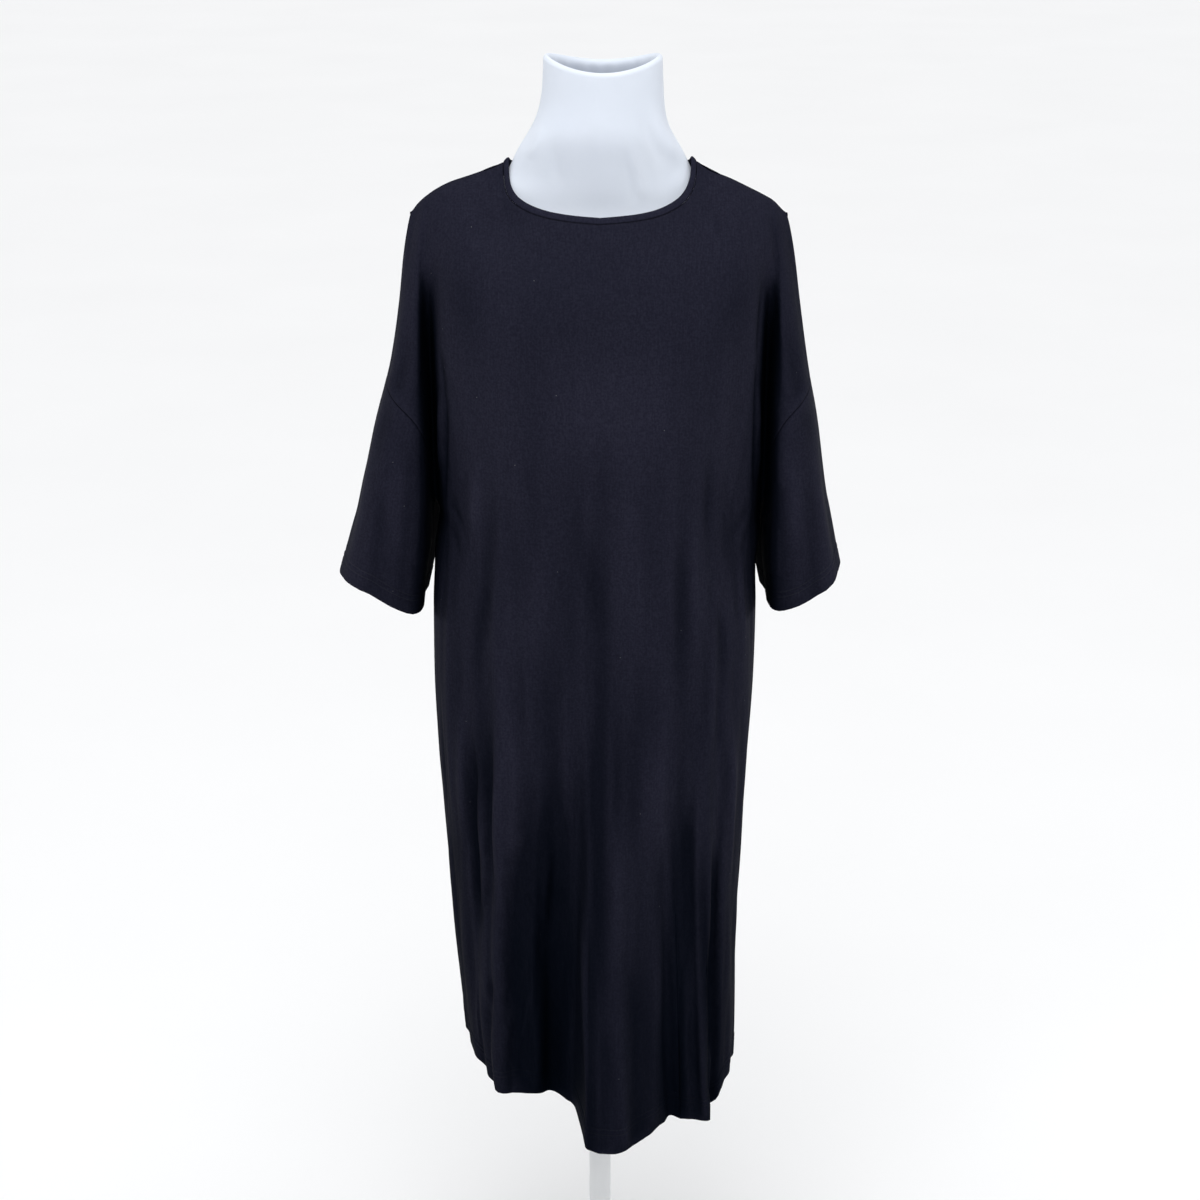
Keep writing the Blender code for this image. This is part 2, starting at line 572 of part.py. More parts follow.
def face_normals_at_points(points, faces):
    """Directions at the points, each face counting by its corner's angle, and longer where faces meet sharply,
    so that a wall offset along them keeps its thickness."""
    n, unit, corner = np.zeros_like(points), [], []
    for f in faces:
        c = points[list(f)]
        v = np.zeros(3)
        for i in range(len(f)):
            v += np.cross(c[i], c[(i + 1) % len(f)])
        v /= max(np.linalg.norm(v), 1e-12)
        unit.append(v)
        for i in range(len(f)):
            a, b = c[i - 1] - c[i], c[(i + 1) % len(f)] - c[i]
            cosine = a @ b / max(np.linalg.norm(a) * np.linalg.norm(b), 1e-12)
            corner.append((f[i], len(unit) - 1))
            n[f[i]] += v * math.acos(max(-1.0, min(1.0, cosine)))
    n /= length(n)
    facing, count = np.zeros(len(points)), np.zeros(len(points))
    for p, f in corner:
        facing[p] += n[p] @ unit[f]
        count[p] += 1
    return n / np.clip(facing / np.maximum(count, 1), 1 / MOST_THICKENED, 1.0)[:, None]


def close_wall(points, faces, normals, wall):
    """Outer points and faces, and the same moved in by the wall, joined at the rim."""
    count = len(points)
    inner = points - normals * wall
    out = [tuple(f) for f in faces] + [tuple(i + count for i in reversed(f)) for f in faces]
    edges = {}
    for f in faces:
        for i in range(len(f)):
            edges[(f[i], f[(i + 1) % len(f)])] = True
    for a, b in edges:
        if (b, a) not in edges:
            out.append((b, a, a + count, b + count))
    return np.vstack([points, inner]), out


def panel_grid(part):
    """One body panel: points by (side, tau, z, wing), faces, and which points lie on which seam."""
    front = part == "front"
    rows = top_rows()
    m = len(rows) - 1
    low = np.array(LOW_ROWS)
    keys, place, seams = {}, [], {"shoulder": [], "side": [], "arm": [], "neck": []}

    def add(key, side, t, z, wing):
        if key not in keys:
            keys[key] = len(place)
            place.append((side, t if front else 12 - t, z, wing))
        return keys[key]

    columns = [(-1, t) for t in reversed(HALF_COLUMNS_LEFT)] + [(1, t) for t in HALF_COLUMNS_RIGHT[1:]]
    grid = []
    for c, (side, t) in enumerate(columns):
        tau = t if front else 12 - t
        zt, zh = top_z(side, tau)[0], hem_z(side, tau)[0]
        if t == 1.0:
            zt = ridge(np.array([NECK_HALF]), side)[0]
        column = [add(("b", c, i), side, t, zt + (UNDERARM - zt) * r, False) for i, r in enumerate(rows)]
        column += [add(("b", c, m + 1 + i), side, t, UNDERARM + (zh - UNDERARM) * r, False) for i, r in enumerate(low)]
        grid.append(column)
        if t >= 1.0:
            seams["shoulder"].append(column[0])
        if t <= 1.0:
            seams["neck"].append(column[0])
        if t == 3.0:
            seams["side"] += column[m:]
    faces = []
    for a, b in zip(grid[:-1], grid[1:]):
        for i in range(len(a) - 1):
            faces.append((a[i], a[i + 1], b[i + 1], b[i]))
    for side, edge in ((-1, grid[0]), (1, grid[-1])):
        wing = [[edge[i]] for i in range(m + 1)]
        for i, r in enumerate(rows[:-1]):
            reach = float(wing_reach(r))
            for w in range(1, WING_STEPS + 1):
                t = 3.0 + reach * w / WING_STEPS
                tau = t if front else 12 - t
                zt = top_z(side, tau)[0]
                v = add(("w", side, i, w), side, t, zt + (UNDERARM - zt) * r, True)
                wing[i].append(v)
                if i == 0 or (t == 6.0 and r <= OVERARM_DROP):
                    seams["shoulder"].append(v)
            if r > OVERARM_DROP - 1e-9:
                seams["arm"].append(wing[i][-1])
        seams["arm"].append(edge[m])
        for i in range(m - 1):
            for w in range(WING_STEPS):
                f = (wing[i][w], wing[i + 1][w], wing[i + 1][w + 1], wing[i][w + 1])
                faces.append(f if side > 0 else f[::-1])
        for w in range(WING_STEPS):
            f = (wing[m - 1][w], wing[m][0], wing[m - 1][w + 1])
            faces.append(f if side > 0 else f[::-1])
    if not front:
        faces = [f[::-1] for f in faces]
    points = np.zeros((len(place), 3))
    for side in (-1, 1):
        pick = np.array([p[0] == side for p in place])
        tau = np.array([p[1] for p in place])[pick]
        z = np.array([p[2] for p in place])[pick]
        wing = np.array([p[3] for p in place])[pick]
        points[pick] = dress_point(side, tau, z, wing)
    # the neck's corner and its edge
    for v in seams["neck"]:
        side, tau, _, _ = place[v]
        t = tau if front else 12 - tau
        a = neck_angle(np.array([t]))
        points[v] = neck_point(a if front else 180 - a, side)[0]
        if t == 1.0:
            points[v, 2] = ridge(np.array([NECK_HALF]), side)[0]
    for v in seams["shoulder"]:
        points[v, 1] = 0.0
    return points, faces, seams, place


def sleeve_grid(side):
    rows = top_rows()
    m = len(rows) - 1
    first = len(TOP_ROWS) - 1
    ring = []
    for i in range(m, first - 1, -1):
        r = rows[i]
        t = 3.0 + float(wing_reach(r))
        zt = top_z(side, t)[0]
        ring.append((t, zt + (UNDERARM - zt) * r))
    for i in range(first + 1, m + 1):
        r = rows[i]
        t = 9.0 - float(wing_reach(r))
        zt = top_z(side, t)[0]
        ring.append((t, zt + (UNDERARM - zt) * r))
    ring = np.array(ring)
    cuff = CUFF_TABLE(ring[:, 0])["left" if side < 0 else "right"]
    points, n = [], len(ring)
    for w in SLEEVE_ROWS:
        z = ring[:, 1] + (cuff - ring[:, 1]) * w
        points.append(dress_point(side, ring[:, 0], z, True))
    points = np.vstack(points)
    faces = []
    for r in range(len(SLEEVE_ROWS) - 1):
        for c in range(n):
            a, b = r * n + c, r * n + (c + 1) % n
            f = (a, a + n, b + n, b)
            faces.append(f if side > 0 else f[::-1])
    return points, faces, n


def pull_back(points, faces, edge_points, distance):
    """Move a sewn edge back into its piece by a given distance."""
    edge = set(edge_points)
    neighbours = {v: [] for v in edge}
    for f in faces:
        for a, b in zip(f, f[1:] + f[:1]):
            for p, q in ((a, b), (b, a)):
                if p in edge and q not in edge:
                    neighbours[p].append(q)
    out = points.copy()
    for v, near in neighbours.items():
        if near:
            d = points[sorted(set(near))].mean(0) - points[v]
            far = distance(v) if callable(distance) else distance
            out[v] = points[v] + d / max(np.linalg.norm(d), 1e-9) * far
    return out


def mesh_object(name, points, faces, material, collection, smooth_angle=50):
    mesh = bpy.data.meshes.new(name)
    mesh.from_pydata([tuple(p) for p in points], [], [tuple(f) for f in faces])
    mesh.update()
    mesh.validate()
    obj = bpy.data.objects.new(name, mesh)
    collection.objects.link(obj)
    mesh.materials.append(material)
    mesh.shade_smooth()
    mesh.set_sharp_from_angle(angle=math.radians(smooth_angle))
    return obj


def paint(name, colour, roughness, metallic=0.0):
    m = bpy.data.materials.new(name)
    m.use_nodes = True
    shader = m.node_tree.nodes["Principled BSDF"]
    shader.inputs["Base Color"].default_value = (*colour, 1)
    shader.inputs["Roughness"].default_value = roughness
    shader.inputs["Metallic"].default_value = metallic
    m.diffuse_color = (*colour, 1)
    return m


# ---------------------------------------------------------------- pieces
def make_dress(collection, cloth):
    parts = {p: panel_grid(p) for p in ("front", "back")}
    normals = {p: face_normals_at_points(parts[p][0], parts[p][1]) for p in parts}
    sleeves = {s: sleeve_grid(s) for s in (-1, 1)}
    sleeve_normals = {s: face_normals_at_points(sleeves[s][0], sleeves[s][1]) for s in sleeves}

    # sewn edges share their direction, so that the walls meet square
    sewn = []
    for p in ("front", "back"):
        ids = set(parts[p][2]["shoulder"] + parts[p][2]["side"] + parts[p][2]["arm"])
        sewn += [(parts[p][0][v], normals[p], v) for v in ids if abs(parts[p][0][v][2] - UNDERARM) > 3]
    for s in (-1, 1):
        sewn += [(sleeves[s][0][v], sleeve_normals[s], v) for v in range(1, sleeves[s][2] - 1)]
    where = np.array([x[0] for x in sewn])
    own = np.array([x[1][x[2]] for x in sewn])
    for i, (point, array, v) in enumerate(sewn):
        near = np.linalg.norm(where - point, axis=1) < 0.6
        total = own[near].sum(0)
        array[v] = total / np.linalg.norm(total)

    # at the underarm the walls face out of the valley and away from the body
    for p in ("front", "back"):
        for v in parts[p][2]["arm"]:
            side, tau, z, _ = parts[p][3][v]
            if abs(z - UNDERARM) < 0.5:
                normals[p][v] = np.array([0.3 * side, -0.95 if p == "front" else 0.95, 0.0])

    for p in ("front", "back"):
        points, faces, seams, place = parts[p]
        sign = -1 if p == "front" else 1
        moved = pull_back(points, faces, seams["arm"], SEAM / 2 + 0.1)
        for v in seams["shoulder"]:
            moved[v, 1] = sign * (SIDE_GAP + 0.05)
        solid, closed = close_wall(moved, faces, normals[p], WALL)
        mesh_object(p, world(solid), closed, cloth, collection)
    for s, name in ((-1, "sleeve_left"), (1, "sleeve_right")):
        points, faces, n = sleeves[s]
        # the sleeve's head gives a little more room at the underarm and at the over-arm
        room = lambda v: (2.4, 2.0, 1.0)[min(v, n - 1 - v)] if min(v, n - 1 - v) < 3 else 1.3 if abs(v - n // 2) < 3 else 0.5
        moved = pull_back(points, faces, range(n), room)
        solid, closed = close_wall(moved, faces, sleeve_normals[s], WALL)
        mesh_object(name, world(solid), closed, cloth, collection)


def make_binding(collection, cloth):
    """The neck band: a ring of six-sided sections leaning in from the panels' edge, one at each of its points."""
    section = ((0.0, -0.05), (0.5, 0.12), (0.93, -0.05), (1.0, -0.5), (0.93, -0.95), (0.16, -1.0))  # up, out
    right = [float(neck_angle(np.array(t))) for t in HALF_COLUMNS_RIGHT if t <= 1.0]
    left = [float(neck_angle(np.array(t))) for t in HALF_COLUMNS_LEFT if t <= 1.0]
    ring = [(1, a) for a in right] + [(1, 180 - a) for a in right[-2::-1]]
    ring += [(-1, 180 - a) for a in left[1:]] + [(-1, a) for a in left[-2:0:-1]]
    low = np.array([neck_point(np.array([a]), s, 0.0)[0] for s, a in ring])
    high = np.array([neck_point(np.array([a]), s, 1.0)[0] for s, a in ring])
    count = len(ring)
    along = np.roll(low, -1, axis=0) - np.roll(low, 1, axis=0)
    up = high - low
    tall = length(up)
    out = np.cross(up, along)
    out /= length(out)
    out *= np.sign((out[:, :2] * low[:, :2]).sum(-1))[:, None]
    start = low + up / tall * (SEAM + 0.1)
    rows = [start + up * u * 0.95 + out * o * BAND_THICK for u, o in section]
    n = len(section)
    points = np.stack(rows, 1).reshape(-1, 3)
    faces = []
    for i in range(count):
        for k in range(n):
            a, b = i * n + k, i * n + (k + 1) % n
            c, d = ((i + 1) % count) * n + (k + 1) % n, ((i + 1) % count) * n + k
            faces.append((d, c, b, a))
    mesh_object("neck_binding", world(points), faces, cloth, collection)


def torso_ring(z, row, steps, shrink=0.0):
    a = np.arange(steps) * 2 * math.pi / steps
    power = 2.0 / row["square"]
    c, s = np.cos(a), np.sin(a)
    reach = np.where(c > 0, row["front"], row["back"]) - shrink
    x = row["c_x"] + (row["half"] - shrink) * np.sign(s) * np.abs(s) ** power
    y = -reach * np.sign(c) * np.abs(c) ** power
    return np.stack([x, y, np.full(steps, z)], -1)


def make_torso(collection, cover, steps=40):
    """The form, lofted through its sections from the flat bottom to the neck's rim, then into the hollow."""
    rings = []
    for values in TORSO:
        row = dict(zip(TORSO_COLUMNS, values))
        ring = torso_ring(row["z"], row, steps)
        lift = smooth(np.array([(row["z"] - 30) / 57]))[0]
        a = np.arange(steps) * 2 * math.pi / steps
        ring[:, 2] += NECK_EARS * lift * np.sin(a) ** 2
        rings.append(ring)
    top = dict(zip(TORSO_COLUMNS, TORSO[-1]))
    a = np.arange(steps) * 2 * math.pi / steps
    for shrink, drop, ears in ((1.6, -2.2, 1.0), (NECK_RIM * 0.6, -2.8, 1.0), (NECK_RIM, -1.0, 0.95), (NECK_RIM + 2.5, 3.5, 0.75), (NECK_RIM + 4.5, NECK_RECESS, 0.2), (32, NECK_RECESS + 1.5, 0.0)):
        ring = torso_ring(top["z"] - drop, top, steps, shrink)
        ring[:, 2] += NECK_EARS * ears * np.sin(a) ** 2
        rings.append(ring)
    points = np.vstack(rings)
    faces = []
    for r in range(len(rings) - 1):
        for c in range(steps):
            a0, b0 = r * steps + c, r * steps + (c + 1) % steps
            faces.append((a0, b0, b0 + steps, a0 + steps))
    faces.append(tuple(range(steps))[::-1])
    last = (len(rings) - 1) * steps
    faces.append(tuple(last + i for i in range(steps)))
    mesh_object("form_torso", world(points), faces, cover, collection, 60)


def turned(name, profile, material, collection, steps=40):
    """A turned solid: a profile down its outer side, from the axis to the axis."""
    mesh = bpy.data.meshes.new(name)
    points = [(r * MM, 0, z * MM) for r, z in profile]
    mesh.from_pydata(points, [(i, i + 1) for i in range(len(points) - 1)], [])
    obj = bpy.data.objects.new(name, mesh)
    collection.objects.link(obj)
    mesh.materials.append(material)
    screw = obj.modifiers.new("turn", "SCREW")
    screw.axis = "Z"
    screw.steps = screw.render_steps = steps
    screw.use_merge_vertices = True
    screw.merge_threshold = 0.00005
    screw.use_smooth_shade = True
    return obj


def make_stand(collection, metal):
    bottom = SHOULDER_HEIGHT + TORSO_BOTTOM
    r = BASE_RADIUS
    turned(
        "stand_base",
        ((0, BASE_HEIGHT + 10), (20, BASE_HEIGHT + 10), (22, BASE_HEIGHT + 8), (24, BASE_HEIGHT + 1.5), (30, BASE_HEIGHT),
         (r - 8, BASE_HEIGHT), (r - 3, BASE_HEIGHT - 1.2), (r, BASE_HEIGHT - 4.5), (r, 0), (0, 0)),
        metal, collection, 48,
    )
    low, high = BASE_HEIGHT + 10 + SEAM, bottom - COLLAR_HEIGHT - 2 * SEAM
    bpy.ops.mesh.primitive_cylinder_add(vertices=32, radius=POLE_RADIUS * MM, depth=(high - low) * MM, location=(0, 0, (low + high) / 2 * MM))
    pole = bpy.context.object
    pole.name = pole.data.name = "stand_pole"
    pole.data.materials.append(metal)
    pole.data.shade_smooth()
    pole.data.set_sharp_from_angle(angle=math.radians(40))
    for c in list(pole.users_collection):
        c.objects.unlink(pole)
    collection.objects.link(pole)
    z = bottom - SEAM
    turned(
        "stand_collar",
        ((0, z), (COLLAR_RADIUS + 22, z), (COLLAR_RADIUS + 22, z - 5), (COLLAR_RADIUS - 6, z - 8), (POLE_RADIUS + 7, z - 16),
         (POLE_RADIUS + 6, z - COLLAR_HEIGHT + 2), (POLE_RADIUS + 4, z - COLLAR_HEIGHT), (0, z - COLLAR_HEIGHT)),
        metal, collection, 40,
    )


def main():
    for obj in list(bpy.data.objects):
        bpy.data.objects.remove(obj, do_unlink=True)
    collection = bpy.data.collections.new("jersey_dress_on_form")
    bpy.context.scene.collection.children.link(collection)
    cloth = paint("black_jersey", (0.016, 0.017, 0.028), 0.85)
    cover = paint("white_stretch_cover", (0.78, 0.82, 0.88), 0.7)
    metal = paint("pale_painted_steel", (0.72, 0.73, 0.74), 0.4)
    make_dress(collection, cloth)
    make_binding(collection, cloth)
    make_torso(collection, cover)
    make_stand(collection, metal)


main()
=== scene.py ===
"""A plain near-black jersey dress of T-shirt cut, worn by a white-covered limbless dress form on a pole stand.

Metres, +Z up; the front faces -Y. Tables are in millimetres, with heights measured from the high shoulder point.
"""

import math

import bpy
import numpy as np
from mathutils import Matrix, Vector
from mathutils.bvhtree import BVHTree

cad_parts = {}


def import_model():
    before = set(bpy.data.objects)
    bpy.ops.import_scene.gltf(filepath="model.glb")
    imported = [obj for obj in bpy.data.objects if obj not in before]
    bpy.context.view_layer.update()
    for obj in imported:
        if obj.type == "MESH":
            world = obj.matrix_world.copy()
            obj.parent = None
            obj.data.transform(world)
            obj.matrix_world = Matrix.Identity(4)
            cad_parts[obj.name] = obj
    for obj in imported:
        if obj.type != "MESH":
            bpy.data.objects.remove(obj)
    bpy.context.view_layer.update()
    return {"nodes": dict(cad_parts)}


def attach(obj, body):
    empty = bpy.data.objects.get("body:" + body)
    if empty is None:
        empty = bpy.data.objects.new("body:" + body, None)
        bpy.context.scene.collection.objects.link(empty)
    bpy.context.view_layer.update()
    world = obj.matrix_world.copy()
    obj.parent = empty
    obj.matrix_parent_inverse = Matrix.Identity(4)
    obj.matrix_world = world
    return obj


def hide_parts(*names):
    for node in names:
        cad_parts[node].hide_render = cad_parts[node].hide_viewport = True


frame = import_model()
scene = bpy.context.scene

# ---------------------------------------------------------------- driving sizes
MM = 0.001
SHOULDER_HEIGHT = 1420.0  # high shoulder point above the floor
UNDERARM = -365.0  # height of the underarm points
OVERARM_DROP = 0.56  # the drop-shoulder seam's place down the over-arm, tip to underarm level
WALL = 1.6  # cloth wall
SEAM = 0.3  # gap between sewn pieces
SIDE_GAP = 0.15  # half of that gap, each side of a seam
UNDERARM_GAP = 2.2  # half of the gap between front and back at the underarm point
MOST_THICKENED = 1.3  # where a wall turns sharply, its offset grows by up to this
PINCH_BELOW = 45.0  # how far below the underarm the side seam stays pinched
NECK_FADE = 64.0  # how far from the neck edge the cloth still bends to it

NECK_HALF = 99.0  # neck opening at the panels' edge, half its width
NECK_FRONT = 82.0  # its reach forward
NECK_BACK = 68.0  # its reach back
BAND_HEIGHT = 8.0  # neck binding
BAND_THICK = 2.4
BAND_IN = 5.0  # how far the binding leans in over its height

BASE_RADIUS = 180.0
BASE_HEIGHT = 9.0
POLE_RADIUS = 12.5
COLLAR_RADIUS = 34.0
COLLAR_HEIGHT = 46.0
TORSO_BOTTOM = -655.0

# ---------------------------------------------------------------- tables
# Plan sections of the dress. z: height; c_y: reach at the centre line; s, e, v: points round the body,
# ending at the side (above the underarm, at the bottom of the valley between body and sleeve).
BODY_COLUMNS = ("z", "c_y", "s_x", "s_y", "e_x", "e_y", "v_x", "v_y")
FRONT_LEFT = (
    (-56, -100, 99, -96, 142, -80, 168, -58),
    (-100, -108, 92, -103, 150, -77, 175, -47),
    (-150, -113, 86, -108, 157, -70, 177, -30),
    (-215, -117, 84, -111, 161, -62, 177.5, -9),
    (-290, -119, 84, -113, 161, -55, 177, -1),
    (-365, -118, 84, -112, 159, -50, 176, -0.2),
    (-378, -118, 84, -112, 158, -50, 171.5, 2),
    (-395, -118, 84, -112, 159, -50, 173, 2),
    (-430, -118, 84, -112, 161, -53, 177, 2),
    (-483, -117, 85, -112, 164, -58, 180.5, 2),
    (-560, -117, 85, -112, 165, -62, 181, 2),
    (-700, -117, 84, -112, 158, -65, 175, 2),
    (-850, -116, 82, -111, 150, -67, 166, 2),
    (-1000, -115, 78, -110, 136, -70, 156, 2),
    (-1070, -115, 76, -110, 128, -70, 152, 2),
)
FRONT_RIGHT = (
    (-56, -100, 99, -96, 142, -80, 167, -58),
    (-100, -108, 92, -103, 150, -77, 174, -47),
    (-150, -113, 86, -108, 156, -70, 175, -30),
    (-215, -117, 84, -111, 158, -62, 175, -9),
    (-290, -119, 84, -113, 157, -55, 175, -1),
    (-365, -118, 84, -112, 155, -50, 174, -0.2),
    (-378, -118, 84, -112, 154, -50, 172, 2),
    (-395, -118, 84, -112, 153, -50, 171, 2),
    (-430, -118, 84, -112, 152, -53, 167, 2),
    (-483, -117, 85, -112, 153, -60, 168.5, 2),
    (-560, -117, 86, -112, 152, -66, 167.5, 2),
    (-700, -117, 86, -112, 146, -72, 160.5, 2),
    (-850, -116, 86, -112, 140, -78, 154.5, 2),
    (-1000, -115, 86, -112, 134, -84, 151, 2),
    (-1070, -115, 86, -112, 130, -86, 149, 2),
)
BACK_LEFT = (
    (-56, 82, 99, 78, 142, 68, 168, 54),
    (-100, 94, 92, 90, 150, 70, 175, 48),
    (-150, 102, 86, 98, 156, 68, 177, 34),
    (-215, 107, 84, 102, 160, 62, 177.5, 17),
    (-290, 109, 84, 104, 161, 56, 177, 6),
    (-365, 109, 84, 104, 159, 53, 176, 4.2),
    (-378, 109, 84, 104, 158, 54, 171.5, 2),
    (-395, 109, 84, 104, 158, 54, 173, 2),
    (-430, 110, 84, 104, 159, 55, 177, 2),
    (-483, 112, 85, 106, 162, 60, 180.5, 2),
    (-560, 114, 86, 108, 163, 66, 181, 2),
    (-700, 118, 84, 112, 157, 70, 175, 2),
    (-850, 121, 80, 114, 154, 70, 166, 2),
    (-1000, 124, 76, 116, 152, 66, 156, 2),
    (-1070, 125, 74, 117, 150, 66, 152, 2),
)
BACK_RIGHT = (
    (-56, 82, 99, 78, 142, 68, 167, 54),
    (-100, 94, 92, 90, 150, 70, 174, 48),
    (-150, 102, 86, 98, 155, 68, 175, 34),
    (-215, 107, 84, 102, 158, 62, 175, 17),
    (-290, 109, 84, 104, 158, 56, 175, 6),
    (-365, 109, 84, 104, 156, 53, 174, 4.2),
    (-378, 109, 84, 104, 154, 54, 172, 2),
    (-395, 109, 84, 104, 152, 54, 171, 2),
    (-430, 110, 84, 104, 151, 55, 167, 2),
    (-483, 112, 85, 106, 152, 60, 169, 2),
    (-560, 114, 86, 108, 151, 66, 167.5, 2),
    (-700, 118, 86, 112, 145, 72, 160.5, 2),
    (-850, 121, 84, 115, 138, 76, 154.5, 2),
    (-1000, 124, 80, 118, 132, 78, 151, 2),
    (-1070, 125, 78, 119, 128, 78, 149, 2),
)
# Plan sections of the sleeves. i, m: inner and outer corners in front; o: the over-arm edge;
# n, j: outer and inner corners behind; u: the under seam, used below the underarm.
ARM_COLUMNS = ("z", "i_x", "i_y", "m_x", "m_y", "o_x", "o_y", "n_x", "n_y", "j_x", "j_y", "u_x", "u_y")
ARM_LEFT = (
    (-56, 179, -46, 188, -25, 194, 0, 188, 25, 179, 44, 176, 2),
    (-72, 181, -44, 191, -26, 198, 0, 191, 26, 181, 45, 176, 2),
    (-100, 184, -42, 196, -27, 203, 0, 196, 28, 185, 46, 176, 2),
    (-150, 186, -45, 202, -31, 209, 0, 202, 34, 188, 49, 176, 2),
    (-215, 187, -48, 210, -37, 220, 0, 211, 42, 188, 54, 176, 2),
    (-240, 187, -49, 215, -39, 226.5, 0, 215, 45, 188, 55, 176, 2),
    (-290, 187.5, -50, 224, -42, 240, 5, 225, 50, 187, 58, 176, 2),
    (-365, 189, -48, 238, -42, 257, 7, 240, 54, 178, 62, 176, 2),
    (-378, 190, -47, 240, -41, 260, 7, 243, 54, 176, 63, 178, 4),
    (-430, 194, -42, 250, -36, 276, 8, 256, 54, 181, 64, 184, 20),
    (-490, 199, -35, 262, -28, 292, 9, 268, 53, 194, 60, 193, 32),
)
ARM_RIGHT = (
    (-56, 178, -46, 187, -25, 191, 0, 187, 25, 178, 44, 174, 2),
    (-72, 180, -44, 190, -26, 195.5, 0, 190, 26, 180, 45, 174, 2),
    (-100, 183, -42, 194, -27, 201, 0, 194, 28, 184, 46, 174, 2),
    (-150, 185, -45, 201, -31, 208, 0, 201, 34, 187, 49, 174, 2),
    (-215, 186, -48, 208, -37, 218, 0, 208, 42, 186, 54, 174, 2),
    (-240, 186, -49, 211, -39, 222.5, 0, 211, 45, 185.5, 55, 174, 2),
    (-290, 186, -50, 216, -42, 232, 5, 218, 50, 184, 58, 174, 2),
    (-365, 187, -48, 225, -42, 243, 7, 228, 54, 176, 62, 174, 2),
    (-378, 187, -47, 227, -41, 246, 7, 230, 54, 172, 63, 174.6, 4),
    (-430, 188, -42, 236, -36, 257, 8, 240, 54, 171, 64, 175.5, 20),
    (-490, 190, -35, 246, -28, 271, 9, 250, 53, 181, 62, 182, 32),
)
# The shoulder ridge under the seam, by distance from the centre; inside the neck opening it is only a guide.
RIDGE_COLUMNS = ("x", "z_left", "z_right")
RIDGE = (
    (0, 38, 40),
    (47, 25, 28),
    (80, 6, 8),
    (99, -7, -6),
    (113, -13, -15),
    (133, -20, -23),
    (154, -27, -33),
    (166, -33, -39),
    (178, -41, -46),
    (187, -49, -55),
    (194, -58, -62),
)
# How the shoulder rounds over: depth of the rounding in front and behind, and its squareness.
ROUND_COLUMNS = ("x", "front", "back", "square")
ROUND = ((0, 180, 68, 1.25), (95, 175, 72, 1.3), (150, 150, 105, 1.7), (194, 120, 120, 1.8))
# Neck edge heights of the panels by angle from the front, left and right, and the binding above them.
NECK_COLUMNS = ("angle", "z_left", "z_right")
NECK_EDGE = ((0, -54.5, -54.5), (30, -51, -51), (58, -43, -41), (76, -32, -27), (90, -7.5, -6.5), (104, -13, -12.5), (125, -20, -20), (150, -24, -24), (180, -25, -25))
# Hem heights by place round the dress (0 centre, 1 s, 2 e, 3 side).
HEM_COLUMNS = ("t", "front_left", "front_right", "back_left", "back_right")
HEM = (
    (0.0, -1068, -1068, -1036, -1036),
    (0.2, -1065, -1068, -1035, -1038),
    (0.36, -1049, -1066, -1033, -1041),
    (0.6, -1042, -1064, -1031, -1043),
    (0.9, -1034, -1063, -1028, -1046),
    (1.3, -1033, -1066, -1020, -1047),
    (1.75, -1028, -1068, -1012, -1044),
    (2.0, -1017, -1064, -1008, -1040),
    (2.2, -1009, -1044, -1005, -1036),
    (2.5, -1003, -1030, -1003, -1030),
    (3.0, -999, -1021, -999, -1021),
)
# Cuff heights by place round the sleeve (3 under seam, 4 i, 5 m, 6 o, 7 n, 8 j, 9 under seam).
CUFF_COLUMNS = ("t", "left", "right")
CUFF = ((3, -486, -482), (4, -486, -482), (5, -460, -461), (6, -452, -443), (7, -464, -456), (8, -482, -478), (9, -486, -482))
# The largest folds, by distance round the dress from the centre front (or back), photo-left negative. A fold
# rises over its left flank, stays up, and falls over its right one; negative heights are valleys.
FOLD_COLUMNS = ("side", "z_top", "left_top", "left_hem", "right_top", "right_hem", "flank_left", "flank_right", "height", "power")
FOLDS = (
    ("front", -520, -22, -30, 62, 84, 13, 66, 58, 1.45),  # centre flute
    ("front", -560, -60, -84, -16, -24, 42, 10, -14, 1.2),  # valley on its left
    ("front", -590, 58, 72, 78, 92, 12, 14, -12, 1.0),  # valley on its right
    ("front", -480, 102, 104, 124, 130, 16, 8, 10, 0.8),  # right ridge
    ("front", -480, 124, 130, 140, 148, 7, 9, -9, 0.8),  # narrow valley beyond it
    ("front", -330, -122, -126, -96, -100, 13, 13, 8, 0.7),  # left ridge
    ("front", -430, -168, -160, -138, -134, 12, 12, -6, 0.7),  # small valley near the left side
    ("back", -420, -96, -112, -40, -36, 26, 22, 30, 1.3),  # back flutes
    ("back", -480, 20, 16, 86, 92, 24, 30, 26, 1.3),
    ("back", -520, -34, -34, 14, 14, 18, 18, -16, 1.1),
    ("back", -430, 118, 124, 146, 152, 14, 12, 10, 1.0),
)
